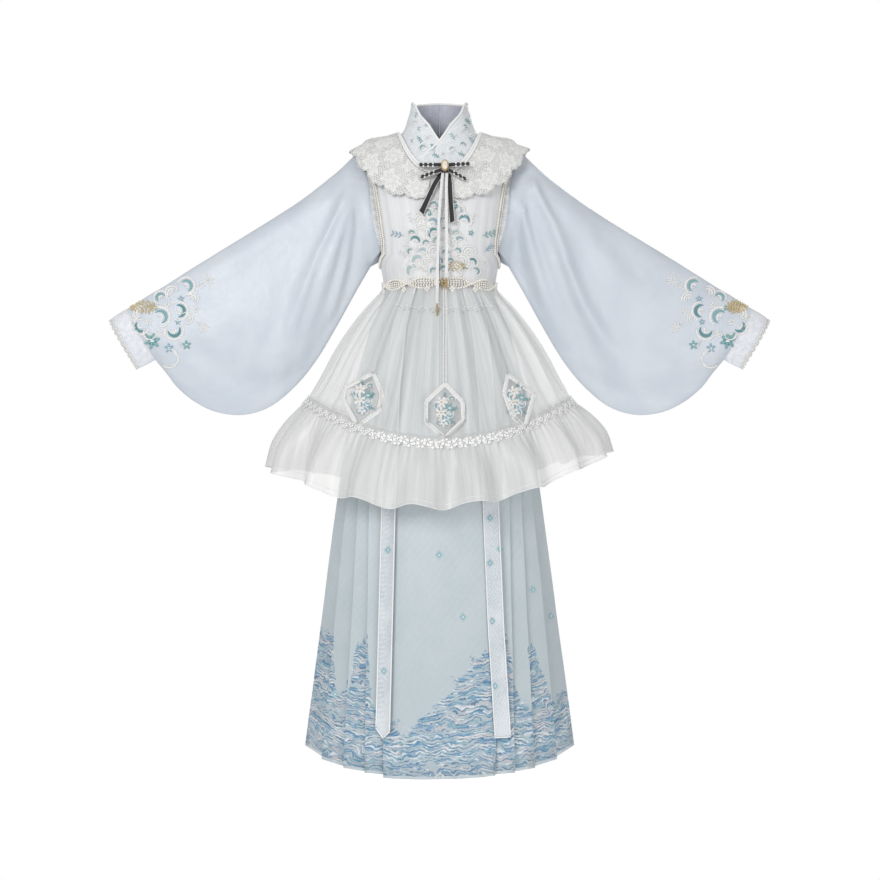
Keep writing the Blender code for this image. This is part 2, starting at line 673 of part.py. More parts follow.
def build_armhole_frills(organza):
    """Narrow organza frills that stand out from the vest's armholes, front and back."""
    for part, back in (("front", False), ("back", True)):
        rows = [[], []]
        for step in range(FRILL_POINTS):
            share = step / (FRILL_POINTS - 1)
            place = FRILL_START + (FRILL_END - FRILL_START) * (share if back else 1.0 - share)
            limit = armhole_limit(VEST_ARMHOLE, place)
            angle = math.pi - limit if back else limit
            base = on_surface(BODY, angle, place, vest_lift(angle, place))
            normal = (on_surface(BODY, angle, place, 0.01) - on_surface(BODY, angle, place)).normalized()
            turn = NORMAL_STEP * (-1 if back else 1)
            aside = (on_surface(BODY, angle + turn, place) - on_surface(BODY, angle, place)).normalized()
            way = (normal * 0.85 + aside * 0.5).normalized()
            reach = FRILL_WIDTH * math.sin(math.pi * (0.08 + 0.84 * share)) ** 0.6
            for row, far in enumerate((0.0, 1.0)):
                wave = FRILL_WAVE_HEIGHT * far * math.sin(2 * math.pi * FRILL_WAVES * share)
                across = (normal * 0.5 - aside * 0.85).normalized()
                rows[row].append(base + way * (SEAM_GAP + reach * far) + across * wave)
        inner = inside(rows, ORGANZA_WALL)
        cloth_solid("armhole_frill_right_" + part, rows, inner, organza)
        cloth_solid("armhole_frill_left_" + part, mirrored(rows), mirrored(inner), organza)


def peplum_wave(angle):
    """Uneven gathers, from -1 to 1, level at the side seams and the centre front."""
    return math.cos(PEPLUM_FOLDS * angle + 0.9 * math.sin(2 * angle) + 0.6 * math.sin(6 * angle))


def ruffle_wave(angle):
    """Deep, uneven flutes with a crest to the right of the centre front."""
    turn = angle - RUFFLE_CREST_ANGLE
    return math.cos(RUFFLE_WAVES * turn + 0.5 * math.sin(2 * turn))


def gathered_grid(table, gathers, wave, start, end, columns, wall):
    """Part of a gathered ring between two angles, smooth at the seam and fluted away from it."""
    grid = []
    for gather in gathers:
        line = []
        for step in range(columns + 1):
            angle = start + SEAM_ANGLE + (end - start - 2 * SEAM_ANGLE) * step / columns
            if table is PEPLUM and gather.place == 0.0:
                point = on_surface(BODY, angle, WAIST, vest_lift(angle, WAIST) - wall)
                point.z -= SEAM_GAP
            else:
                point = on_surface(table, angle, gather.place, gather.height * wave(angle) - wall)
            if table is RUFFLE:
                point.z += RUFFLE_TILT * point.x * gather.place / (len(RUFFLE) - 1)
            line.append(point)
        grid.append(line)
    return grid


def build_peplum_and_ruffle(organza):
    """Gathered panels, each between two quarter turns from the centre front."""
    peplum = (PEPLUM, PEPLUM_GATHERS, peplum_wave)
    ruffle = (RUFFLE, RUFFLE_GATHERS, ruffle_wave)
    peplum_points = PEPLUM_FOLDS * PEPLUM_FOLD_POINTS // 4
    ruffle_points = RUFFLE_WAVES * RUFFLE_WAVE_POINTS // 4
    for name, form, first, last, points in (
        ("peplum_front_left", peplum, -1, 0, peplum_points),
        ("peplum_front_right", peplum, 0, 1, peplum_points),
        ("peplum_back", peplum, 1, 3, peplum_points),
        ("ruffle_front", ruffle, -1, 1, ruffle_points),
        ("ruffle_back", ruffle, 1, 3, ruffle_points),
    ):
        start, end = first * math.pi / 2, last * math.pi / 2
        columns = points * (last - first)
        outer, inner = (gathered_grid(*form, start, end, columns, wall) for wall in (0.0, GATHERED_WALL))
        cloth_solid(name, outer, inner, organza)


def build_seam_lace(lace):
    """The lace band over the seam between the peplum and the ruffle."""
    turns = [2 * math.pi * step / SEAM_LACE_POINTS for step in range(SEAM_LACE_POINTS)]
    grid = [[on_surface(band.table, turn, band.place, band.lift) for turn in turns] for band in SEAM_LACE]
    cloth_solid("seam_lace", grid, inside(grid, LACE_WALL, True), lace, wraps=True)


def build_patches(lace):
    """Diamond patches that lie on the peplum's folds."""
    for patch in PATCHES:
        rows = (
            (patch.top_x, patch.top_z, PATCH_TIP),
            (patch.middle_x, patch.high_z, patch.half_width),
            (patch.middle_x, (patch.high_z + patch.low_z) / 2, patch.half_width),
            (patch.middle_x, patch.low_z, patch.half_width),
            (patch.bottom_x, patch.bottom_z, PATCH_TIP),
        )
        grid = []
        for x, z, half_width in rows:
            across = [x + half_width * side for side in (-1.0, -0.5, 0.0, 0.5, 1.0)]
            grid.append([facing_surface(PEPLUM, place_x, z, patch.lift) for place_x in across])
        cloth_solid(patch.name, grid, inside(grid, LACE_WALL), lace)


def skirt_point(section, angle, level):
    """A point of the skirt's ring at an angle, raised from the ring by a level."""
    depth = section.front_depth if math.cos(angle) > 0.0 else section.back_depth
    sine, cosine = math.sin(angle), math.cos(angle)
    normal = Vector((sine * depth, -cosine * section.half_width, 0.0)).normalized()
    point = Vector((section.half_width * sine, -depth * cosine, section.z)) + normal * level
    if section is SKIRT[-1]:
        point.z += HEM_SIDE_RISE * sine**4 + HEM_TILT * point.x
    return point


def pleat_angle(pleat, section):
    """The angle of a pleat's folded edge at a section: it closes up towards the waist."""
    rise = (section.z - SKIRT[-1].z) / (SKIRT[0].z - SKIRT[-1].z)
    return math.radians(pleat.hem_angle + (pleat.waist_angle - pleat.hem_angle) * rise * rise)


def fold_corners(pleat, section):
    """The four corners of a pleat's fold and tuck, as pairs of an angle and a level."""
    strength = section.pleating
    edge = pleat_angle(pleat, section)
    radius = (section.half_width + section.front_depth) / 2
    spread = FLAT_SPACING * (1.0 - strength) / radius
    tuck = PLEAT_TUCK * max(0.0, strength - TUCK_START) / (1.0 - TUCK_START) / radius
    return [
        (edge, PLEAT_HEIGHT * strength),
        (edge + spread, (PLEAT_HEIGHT - PLEAT_BLUNT) * strength),
        (edge - tuck + 2 * spread, PLEAT_HOLLOW * strength),
        (edge - tuck + 3 * spread, 0.0),
    ]


def pleated_line(section):
    """The pleated side from the front panel to the back panel, as pairs of an angle and a level."""
    line = [fold_corners(PLEATS[0], section)[3]]
    for pleat in PLEATS[1:]:
        corners = fold_corners(pleat, section)
        line += corners
    side = [(math.pi / 2, 0.0)]
    return line + side + [(math.pi - angle, level) for angle, level in reversed(line)]


def build_skirt(jacquard, satin):
    rings = [[skirt_point(row, angle, level) for angle, level in pleated_line(row)] for row in SKIRT]
    inner = inside(rings, SATIN_WALL)
    side_seam, back_seam = len(rings[0]) // 2, 3 * len(rings[0]) // 4 - 1
    for end, first, last, shift, drawn_in in (
        ("_front", 0, side_seam, -SEAM_GAP / 2, ()),
        ("_side", side_seam, back_seam, SEAM_GAP / 2, ((-1, -2),)),
        ("_back", back_seam, None, SEAM_GAP / 2, ((0, 1),)),
    ):
        faces = [columns_of(grid, first, last, shift, drawn_in) for grid in (rings, inner)]
        for side, turned in (("left", mirrored), ("right", list)):
            cloth_solid("skirt_pleats_" + side + end, *(turned(face) for face in faces), jacquard)

    for name, centre in (("skirt_front_panel", 0.0), ("skirt_back_panel", math.pi)):
        grid = []
        for section in SKIRT:
            corners = fold_corners(PLEATS[0], section)
            end_angle, end_level = corners[2]
            gap = SEAM_GAP + SEAM_GAP * section.pleating
            edge_line = [corners[0], corners[1], (end_angle, min(end_level, gap))]
            if section.pleating == 0.0:
                edge_line[2] = (corners[3][0] - SEAM_GAP / section.half_width, 0.0)
            reach = corners[0][0]
            face = [reach * (2 * step / (PANEL_COLUMNS - 1) - 1) for step in range(1, PANEL_COLUMNS - 1)]
            line = [(-angle, level) for angle, level in reversed(edge_line)]
            line += [(angle, PLEAT_HEIGHT * section.pleating) for angle in face]
            line += edge_line
            grid.append([skirt_point(section, centre + angle, level) for angle, level in line])
        cloth_solid(name, grid, inside(grid, SATIN_WALL), jacquard)

    top = SKIRT[0]
    band = []
    turns = [2 * math.pi * step / WAISTBAND_POINTS for step in range(WAISTBAND_POINTS)]
    for z in (WAISTBAND_TOP_Z, (WAISTBAND_TOP_Z + top.z) / 2, top.z + SEAM_GAP):
        band.append([shirt_outside(turn, z, WAISTBAND_LIFT) for turn in turns])
    cloth_solid("skirt_waistband", band, inside(band, SATIN_WALL, True), satin, wraps=True)


def shirt_outside(angle, z, lift):
    """A point just outside the shirt at a height near the waist, where its rings are level."""
    levels = [Cut(i, row.front_z) for i, row in enumerate(BODY)]
    place = between(levels[UNDERARM:], "angle", "place", z)
    point = on_surface(BODY, angle, place, lift)
    return Vector((point.x, point.y, z))


def skirt_face(x, z, level):
    """The point on the front of the skirt at x and z, raised by a level."""
    section = SkirtSection(z, *(between(SKIRT, "z", field, z) for field in SkirtSection._fields[1:]))
    angle = math.asin(x / section.half_width)
    return skirt_point(section, angle, level + PLEAT_HEIGHT * section.pleating)


def build_straps(jacquard):
    """Straps in front of the panel's edges: the left one ends in a point, the right one square."""
    for name, field in (("strap_left", "left_x"), ("strap_right", "right_x")):
        grid = []
        for hang in STRAPS:
            middle = getattr(hang, field)
            across = [middle + STRAP_HALF_WIDTH * side for side in (-1.0, 0.0, 1.0)]
            grid.append([skirt_face(x, hang.z, STRAP_LIFT) for x in across])
        if name == "strap_left":
            tip = grid[-1]
            tip[0] += Vector((0.0, 0.0, STRAP_POINT * 0.5))
            tip[2] += Vector((0.0, 0.0, STRAP_POINT * 0.4))
        cloth_solid(name, grid, inside(grid, LACE_WALL), jacquard)


def build_chain(pearl):
    """The waist chain as a round ring just outside the vest."""
    rows = [[] for _ in range(CHAIN_SIDES)]
    reach = CHAIN_RADIUS + CHAIN_CLEARANCE
    for step in range(CHAIN_POINTS):
        angle = 2 * math.pi * step / CHAIN_POINTS
        middle = on_surface(BODY, angle, WAIST, vest_lift(angle, WAIST) + reach)
        middle.z = CHAIN_Z
        outward = Vector((middle.x, middle.y, 0.0)).normalized()
        for side in range(CHAIN_SIDES):
            turn = 2 * math.pi * side / CHAIN_SIDES
            drop = Vector((0.0, 0.0, CHAIN_RADIUS * math.sin(turn)))
            rows[side].append(middle + outward * CHAIN_RADIUS * math.cos(turn) - drop)
    points = [point for row in rows for point in row]
    faces = []
    for i in range(CHAIN_SIDES):
        for j in range(CHAIN_POINTS):
            row, next_row = i * CHAIN_POINTS, (i + 1) % CHAIN_SIDES * CHAIN_POINTS
            after = (j + 1) % CHAIN_POINTS
            faces.append((row + j, next_row + j, next_row + after, row + after))
    add_mesh("waist_chain", points, faces, pearl)


def ribbon(name, strands, width, material, slant=0.0):
    """A flat ribbon through its strands' points, with its width across the front view."""
    grid = []
    for i, strand in enumerate(strands):
        before, after = strands[max(i - 1, 0)], strands[min(i + 1, len(strands) - 1)]
        along = Vector((after.x - before.x, 0.0, after.z - before.z)).normalized()
        across = Vector((-along.z, 0.0, along.x)) * (width / 2)
        middle = Vector((strand.x, strand.front_y, strand.z))
        drop = Vector((0.0, 0.0, slant if i == len(strands) - 1 else 0.0))
        grid.append([middle - across - drop, middle, middle + across + drop])
    cloth_solid(name, grid, inside(grid, RIBBON_WALL), material)


def build_bow_loop(loop, material):
    """One loop: out along the front, round the end and back behind."""
    start = KNOT_SIZE.x / 2 + SEAM_GAP
    radius = loop.depth / 2
    middle = (start + loop.reach) / 2
    path = [(start, loop.front_y), (middle, loop.front_y - LOOP_SWELL)]
    for step in range(LOOP_TURN_POINTS + 1):
        turn = math.pi * step / LOOP_TURN_POINTS
        out, behind = radius * math.sin(turn), radius - radius * math.cos(turn)
        path.append((loop.reach - radius + out, loop.front_y + behind))
    path += [(middle, loop.front_y + loop.depth), (start, loop.front_y + loop.depth - LOOP_PINCH)]
    grid = [[], []]
    for x, y in path:
        level = loop.start_z + (loop.end_z - loop.start_z) * (x - start) / (loop.reach - start)
        grid[0].append(Vector((x, y, level + LOOP_WIDTH / 2)))
        grid[1].append(Vector((x, y, level - LOOP_WIDTH / 2)))
    grid = mirrored(grid) if loop.mirrored else grid
    grid = [[point + Vector((BOW_X, 0.0, BOW_Z)) for point in row] for row in grid]
    cloth_solid(loop.name, grid, inside(grid, RIBBON_WALL), material)


def adopt(name, material):
    """Name the active primitive, apply its scale and put it in the set's collection."""
    thing = bpy.context.object
    bpy.ops.object.transform_apply(location=False, rotation=False, scale=True)
    thing.name = name
    thing.data.name = name
    thing.data.materials.clear()
    thing.data.materials.append(material)
    thing.data.shade_smooth()
    for owner in list(thing.users_collection):
        owner.objects.unlink(thing)
    COLLECTION.objects.link(thing)
    return thing


def build_bow(ribbon_black, gold, cameo):
    bpy.ops.mesh.primitive_cube_add(size=1.0, location=(BOW_X, KNOT_Y, BOW_Z - KNOT_DROP))
    bpy.context.object.scale = KNOT_SIZE
    knot = adopt("bow_knot", ribbon_black)
    bevel = knot.modifiers.new("Bevel", "BEVEL")
    bevel.width = KNOT_BEVEL
    bevel.segments = 1
    for loop in LOOPS:
        build_bow_loop(loop, ribbon_black)
    for name, strands in TAILS.items():
        slant = TAIL_SLANT if name.endswith("right") else -TAIL_SLANT
        ribbon(name, strands, TAIL_WIDTH, ribbon_black, slant)

    front = KNOT_Y - KNOT_SIZE.y / 2 - SEAM_GAP
    bpy.ops.mesh.primitive_cylinder_add(vertices=24, radius=1.0, depth=1.0)
    bpy.context.object.location = (BOW_X, front - PLATE_SIZE.z / 2, BOW_Z)
    bpy.context.object.rotation_euler.x = math.pi / 2
    bpy.context.object.scale = PLATE_SIZE
    adopt("brooch_plate", gold)
    bpy.ops.mesh.primitive_uv_sphere_add(segments=14, ring_count=8, radius=1.0)
    dome = bpy.context.object
    dome.location = (BOW_X, front - PLATE_SIZE.z - SEAM_GAP - CAMEO_SIZE.y, BOW_Z)
    dome.scale = CAMEO_SIZE
    adopt("brooch_cameo", cameo)


def build_ties(white, pearl):
    for name, strands in TIES.items():
        ribbon(name, strands, TIE_WIDTH, white)
        end = strands[-1]
        height = TIE_TIP_HEIGHT[name]
        bpy.ops.mesh.primitive_uv_sphere_add(segments=8, ring_count=6, radius=1.0)
        bead = bpy.context.object
        top = end.z - SEAM_GAP - RIBBON_WALL / 2
        bead.location = (end.x, end.front_y + RIBBON_WALL / 2, top - height / 2)
        bead.scale = (TIE_TIP_RADIUS, TIE_TIP_RADIUS, height / 2)
        adopt(name.replace("ribbon_tie", "tie_tip"), pearl)


clear_scene()
COLLECTION = bpy.data.collections.new("hanfu_dress_set")
bpy.context.scene.collection.children.link(COLLECTION)
FINISH = make_materials()
build_shirt_body(FINISH["blue_satin"])
build_collar(FINISH["brocade"])
build_sleeves(FINISH["blue_satin"], FINISH["brocade"], FINISH["lace"])
build_vest_body(FINISH["organza"])
build_neck_binding(FINISH["lace"])
build_capes(FINISH["lace"])
build_armhole_frills(FINISH["organza"])
build_peplum_and_ruffle(FINISH["organza"])
build_seam_lace(FINISH["lace"])
build_patches(FINISH["brocade"])
build_skirt(FINISH["skirt_jacquard"], FINISH["blue_satin"])
build_straps(FINISH["skirt_jacquard"])
build_chain(FINISH["pearl"])
build_bow(FINISH["black_ribbon"], FINISH["gold"], FINISH["cameo"])
build_ties(FINISH["lace"], FINISH["pearl"])
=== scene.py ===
"""Looks of the hanfu lolita dress set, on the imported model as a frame. Metres, +Z up, front faces -Y.

Each cloth is worked out again from the sizes of its solid, with finer rows, its gathers and its soft
folds. What is laid on a cloth, such as needlework, pearls and piping, is set down on it from the front
view or along its own rings, so that it lies on the cloth from every side.
"""
import math
from collections import namedtuple

import bmesh
import bpy
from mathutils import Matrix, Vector, noise
from mathutils.bvhtree import BVHTree


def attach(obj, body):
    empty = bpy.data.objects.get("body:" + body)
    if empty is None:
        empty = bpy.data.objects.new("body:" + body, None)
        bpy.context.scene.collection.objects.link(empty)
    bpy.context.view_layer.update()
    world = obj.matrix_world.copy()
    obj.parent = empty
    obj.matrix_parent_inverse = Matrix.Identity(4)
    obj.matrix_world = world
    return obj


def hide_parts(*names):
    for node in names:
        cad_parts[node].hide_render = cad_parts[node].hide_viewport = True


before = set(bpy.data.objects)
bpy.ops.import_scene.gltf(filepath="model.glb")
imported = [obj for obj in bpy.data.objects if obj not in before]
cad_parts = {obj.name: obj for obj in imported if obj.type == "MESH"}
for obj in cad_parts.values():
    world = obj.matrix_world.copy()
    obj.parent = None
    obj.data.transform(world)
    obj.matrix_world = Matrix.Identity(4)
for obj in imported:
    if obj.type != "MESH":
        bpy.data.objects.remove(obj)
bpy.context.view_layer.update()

# The ribbons' wall in the CAD part and the clearances between pieces
RIBBON_WALL = 0.0010
SEAM_GAP = 0.0004
SEAM_ANGLE = 0.0012
NORMAL_STEP = 0.01
SEARCH_STEPS = 30

Section = namedtuple("Section", "front_z side_z back_z half_width front_depth back_depth bend")

# The shirt's outer surface, from the top of the collar to the shirt's hem
BODY = (
    Section(0.066, 0.066, 0.080, 0.058, 0.055, 0.055, 2.0),
    Section(0.028, 0.030, 0.042, 0.067, 0.060, 0.058, 2.0),
    Section(-0.030, 0.002, 0.014, 0.079, 0.067, 0.064, 2.0),
    Section(-0.085, -0.008, 0.002, 0.105, 0.082, 0.076, 2.0),
    Section(-0.125, -0.024, -0.040, 0.160, 0.094, 0.092, 2.4),
    Section(-0.165, -0.095, -0.105, 0.150, 0.104, 0.098, 3.0),
    Section(-0.205, -0.165, -0.170, 0.143, 0.112, 0.099, 3.0),
    Section(-0.245, -0.225, -0.230, 0.134, 0.107, 0.095, 3.0),
    Section(-0.276, -0.270, -0.272, 0.1235, 0.1000, 0.0912, 3.0),
    Section(-0.330, -0.330, -0.330, 0.111, 0.091, 0.085, 3.0),
    Section(-0.395, -0.395, -0.395, 0.120, 0.098, 0.093, 3.0),
)
SHOULDER, UNDERARM, WAIST = 4, 8, 9

# Where the armhole cuts the panels: the place on the body table and the angle from the centre
Cut = namedtuple("Cut", "place angle")
SHIRT_ARMHOLE = (
    Cut(4.0, 90), Cut(4.35, 77), Cut(5.0, 67), Cut(6.0, 64), Cut(7.0, 64), Cut(7.6, 69), Cut(8.0, 90),
)
VEST_ARMHOLE = (
    Cut(4.0, 87.5), Cut(4.3, 73), Cut(5.0, 63), Cut(6.0, 60), Cut(7.0, 60), Cut(7.75, 65), Cut(8.3, 90),
)
PANEL_POINTS = 13
SHIRT_ROWS = (3.0, 3.4, 4.0, 4.35, 5.0, 6.0, 7.0, 7.6, 7.85, 8.0, 8.5, 9.0, 10.0)
VEST_ROWS = (2.8, 3.4, 4.0, 4.3, 5.0, 6.0, 7.0, 7.75, 8.05, 8.3, 9.0)

# How far the vest stands off the shirt: at the side, more at the middle, neck, shoulder tip and waist
VEST_LIFT_SIDE = 0.0028
VEST_LIFT_MIDDLE = 0.0024
VEST_LIFT_NECK = 0.0014
VEST_LIFT_TIP = 0.0008
VEST_LIFT_WAIST = 0.0040
VEST_CENTRE_GAP = 0.004
VEST_UNEVENNESS = 0.0004
NECK_PLACE = 2.3
NECK_BACK_FALL = 0.3
Strip = namedtuple("Strip", "drop rise")
BINDING = (Strip(0.0, 0.0018), Strip(0.07, 0.0030), Strip(0.14, 0.0018))
BINDING_POINTS = 150
BINDING_END_ANGLE = 0.008

# The crossed collar: its top edge falls from the nape to past the centre front
COLLAR_EDGE = (
    Cut(3.00, -26), Cut(2.42, -14), Cut(2.00, 0), Cut(1.44, 18), Cut(1.07, 35), Cut(0.45, 55),
    Cut(0.14, 72), Cut(0.08, 95), Cut(0.0, 130), Cut(0.0, 180),
)
COLLAR_OVER_LIFT = 0.0026
COLLAR_ROWS = 13
COLLAR_COLUMN_ANGLE = 3.0
COLLAR_OVER_END, COLLAR_OVER_FADE = 38, 24
COLLAR_PADDING = 0.0012
COLLAR_PIPING = 0.0027
COLLAR_TUCK = 0.25
SHIRT_TUCK = 0.0026
SHIRT_TUCK_FADE = 0.6
SHIRT_TOP_RISE = 0.06

# The pipa sleeve, right side: the top fold and the hanging lower edge, from the armhole to the cuff
Sleeve = namedtuple("Sleeve", "top_x top_z low_x low_z half_thick")
SLEEVE = (
    Sleeve(0.2055, -0.0690, 0.1470, -0.2810, 0.056),
    Sleeve(0.2630, -0.1166, 0.1810, -0.3400, 0.052),
    Sleeve(0.3184, -0.1558, 0.2215, -0.4130, 0.047),
    Sleeve(0.3780, -0.1940, 0.2630, -0.4815, 0.043),
    Sleeve(0.4377, -0.2305, 0.3085, -0.5370, 0.040),
    Sleeve(0.4930, -0.2640, 0.3615, -0.5795, 0.038),
    Sleeve(0.5442, -0.2958, 0.4170, -0.5965, 0.036),
    Sleeve(0.5868, -0.3228, 0.4715, -0.5915, 0.034),
    Sleeve(0.6188, -0.3415, 0.5175, -0.5710, 0.031),
    Sleeve(0.6380, -0.3540, 0.5565, -0.5400, 0.028),
    Sleeve(0.6528, -0.3635, 0.5825, -0.5070, 0.025),
    Sleeve(0.6656, -0.3710, 0.6060, -0.4790, 0.022),
)
CUFF = (
    Sleeve(0.6660, -0.3713, 0.6064, -0.4793, 0.0225),
    Sleeve(0.6965, -0.3905, 0.6385, -0.4960, 0.0215),
)
CUFF_LACE = (
    Sleeve(0.6969, -0.3908, 0.6389, -0.4963, 0.0215),
    Sleeve(0.7035, -0.3957, 0.6460, -0.5000, 0.0215),
)
ARMHOLE_GAP = 0.0030
BELLY_THINNING = 0.55
SLEEVE_HALF_POINTS = 64
CUFF_HALF_POINTS = 32
CUFF_PADDING = 0.0010
CUFF_SCALLOPS, SCALLOP_POINTS = 26, 6
CUFF_SCALLOP_DEPTH = 0.0035

# The lace cape over each shoulder: its outer edge, which stands off over the top of the sleeve
CAPE_EDGE = Section(-0.160, -0.0340, -0.100, 0.194, 0.1140, 0.112, 3.4)
CAPE_NECK_DROP = 0.2
CAPE_LIFT = 0.0026
CAPE_FRONT_ANGLE = 0.12
CAPE_SCALLOPS = 11
CAPE_SCALLOP_COLUMNS = 18
CAPE_YOKE_ROWS, CAPE_EDGE_ROWS = 9, 8
CAPE_SCALLOP_DEPTH = 0.22

# Gathered peplum, from the waist seam to the ruffle seam, and the ruffle below it
PEPLUM = (
    Section(-0.330, -0.330, -0.330, 0.1195, 0.0990, 0.0930, 2.0),
    Section(-0.350, -0.345, -0.350, 0.1300, 0.1120, 0.1070, 2.0),
    Section(-0.395, -0.377, -0.390, 0.1580, 0.1320, 0.1260, 2.0),
    Section(-0.447, -0.415, -0.437, 0.1860, 0.1520, 0.1470, 2.0),
    Section(-0.492, -0.447, -0.478, 0.2080, 0.1670, 0.1620, 2.0),
    Section(-0.536, -0.479, -0.518, 0.2270, 0.1810, 0.1760, 2.0),
    Section(-0.580, -0.511, -0.556, 0.2450, 0.1940, 0.1890, 2.0),
    Section(-0.622, -0.541, -0.592, 0.2640, 0.2060, 0.2010, 2.0),
    Section(-0.658, -0.569, -0.622, 0.2840, 0.2180, 0.2120, 2.0),
)
RUFFLE = (
    Section(-0.6584, -0.5694, -0.6224, 0.2842, 0.2182, 0.2122, 2.0),
    Section(-0.700, -0.603, -0.664, 0.3120, 0.2360, 0.2300, 2.0),
    Section(-0.742, -0.648, -0.708, 0.3370, 0.2500, 0.2440, 2.0),
    Section(-0.778, -0.692, -0.750, 0.3460, 0.2620, 0.2540, 2.0),
)
Gather = namedtuple("Gather", "place height")
PEPLUM_GATHERS = (
    Gather(0.0, 0.0), Gather(1.2, 0.0025), Gather(3.0, 0.0062), Gather(5.2, 0.0068), Gather(7.0, 0.0040),
    Gather(8.0, 0.0),
)
RUFFLE_GATHERS = (Gather(0.0, 0.0), Gather(1.0, 0.009), Gather(2.0, 0.016), Gather(3.0, 0.021))
PEPLUM_FOLDS = 22
RUFFLE_WAVES = 18
RUFFLE_CREST_ANGLE = 0.20
RUFFLE_TILT = 0.045
RUFFLE_HEM_WAVE = 0.0032

# Diamond patches on the front of the peplum: corners in the front view, widest between high_z and low_z
PATCH_COLUMNS = "name top_x top_z middle_x high_z low_z half_width bottom_x bottom_z lift"
Patch = namedtuple("Patch", PATCH_COLUMNS)
PATCHES = (
    Patch("diamond_left", -0.134, -0.515, -0.154, -0.552, -0.586, 0.040, -0.166, -0.620, 0.0073),
    Patch("diamond_centre", 0.011, -0.5375, 0.011, -0.571, -0.6125, 0.0385, 0.011, -0.646, 0.0090),
    Patch("diamond_right", 0.136, -0.519, 0.156, -0.555, -0.588, 0.037, 0.168, -0.624, 0.0071),
)
PATCH_TIP = 0.003

# The pleated skirt: pleating grows from 0 at the waist to 1
SkirtSection = namedtuple("SkirtSection", "z half_width front_depth back_depth pleating")
SKIRT = (
    SkirtSection(-0.3354, 0.1152, 0.0952, 0.0892, 0.0),
    SkirtSection(-0.3650, 0.1260, 0.1050, 0.1000, 0.0),
    SkirtSection(-0.4200, 0.1480, 0.1220, 0.1170, 0.35),
    SkirtSection(-0.5500, 0.1810, 0.1430, 0.1380, 0.8),
    SkirtSection(-0.7860, 0.2120, 0.1650, 0.1610, 1.0),
    SkirtSection(-1.3110, 0.2810, 0.2145, 0.2110, 1.0),
)
WAISTBAND_TOP_Z = -0.300
WAISTBAND_LIFT = 0.0027
WAISTBAND_COLUMNS = 96
HEM_SIDE_RISE = 0.022
HEM_TILT = 0.020
Pleat = namedtuple("Pleat", "waist_angle hem_angle")
PLEATS = (Pleat(58, 22.5), Pleat(63, 31), Pleat(68, 41.5), Pleat(73, 55.5), Pleat(78, 76))
PLEAT_HEIGHT = 0.009
PLEAT_BLUNT = 0.003
PLEAT_HOLLOW = 0.0015
PLEAT_TUCK = 0.005
TUCK_START = 0.6
FLAT_SPACING = 0.0022
PANEL_COLUMNS = 9

# Straps that hang from the waistband, with x at each height
Hang = namedtuple("Hang", "z left_x right_x")
STRAPS = (
    Hang(-0.337, -0.060, 0.060), Hang(-0.365, -0.068, 0.068), Hang(-0.42, -0.078, 0.078),
    Hang(-0.55, -0.089, 0.089), Hang(-0.786, -0.0965, 0.0975), Hang(-1.02, -0.102, 0.107),
    Hang(-1.19, -0.106, 0.117), Hang(-1.235, -0.107, 0.1195),
)
STRAP_HALF_WIDTH = 0.014
STRAP_LIFT = 0.0020
STRAP_POINT = 0.036
STRAP_CURL = 0.0065

# Pearl chain round the waist: its links, how far its strands part, and the angles of its drops
CHAIN_Z = -0.328
CHAIN_LINK = 0.071
CHAIN_SWING = 0.0105
CHAIN_STEPS = 360
CLASP_RING, CLASP_BEADS = 0.0058, 0.0085
CHAIN_STRANDS = (-1.0, -0.45, 0.0, 0.45, 1.0)
CHAIN_DROPS = (-150, -118, -86, -70, -36, -12, 12, 36, 70, 86, 118, 150, 180)
PEARL_RADIUS = 0.0029
PEARL_PITCH = 0.0059

# The lace band over the ruffle seam, as a table, a place on it and a height
Band = namedtuple("Band", "table place lift")
SEAM_LACE = (Band(PEPLUM, 7.5, 0.0046), Band(PEPLUM, 8.0, 0.0022), Band(RUFFLE, 0.22, 0.0046))

# Organza frills along the vest's armholes, between two places on the body table
FRILL_START, FRILL_END = 4.55, 7.3
FRILL_POINTS, FRILL_ROWS = 90, 4
FRILL_WAVES = 4
FRILL_WIDTH = 0.013
FRILL_WAVE_HEIGHT = 0.0022

# Beads and cord along the vest's armholes, between two places on the body table
ARMHOLE_TRIM_START, ARMHOLE_TRIM_END = 4.15, 8.2
ARMHOLE_TRIM_STEPS = 60
ARMHOLE_BEAD = 0.0023
ARMHOLE_BEAD_PITCH = 0.0046
ARMHOLE_CORD = 0.0014

# Bow, brooch and ribbon ties on the chest
BOW_X, BOW_Z = 0.011, -0.090
KNOT_SIZE = Vector((0.015, 0.0129, 0.016))
KNOT_DROP = 0.005
KNOT_Y = -0.1028
LOOP_WIDTH = 0.0095
Loop = namedtuple("Loop", "name reach start_z end_z front_y depth mirrored")
LOOPS = (
    Loop("bow_loop_upper_left", 0.053, 0.0015, 0.0020, -0.1085, 0.0080, True),
    Loop("bow_loop_upper_right", 0.051, 0.0015, 0.0040, -0.1085, 0.0080, False),
    Loop("bow_loop_lower_left", 0.050, -0.0085, -0.0235, -0.1085, 0.0080, True),
    Loop("bow_loop_lower_right", 0.044, -0.0085, -0.0280, -0.1085, 0.0080, False),
)
LOOP_TURN_POINTS = 6
LOOP_SWELL = 0.0015
LOOP_PINCH = 0.0005
TAIL_SLANT = 0.0025
PLATE_SIZE = Vector((0.0075, 0.0115, 0.0024))
CAMEO_SIZE = Vector((0.0058, 0.0028, 0.0094))
Strand = namedtuple("Strand", "x z front_y")
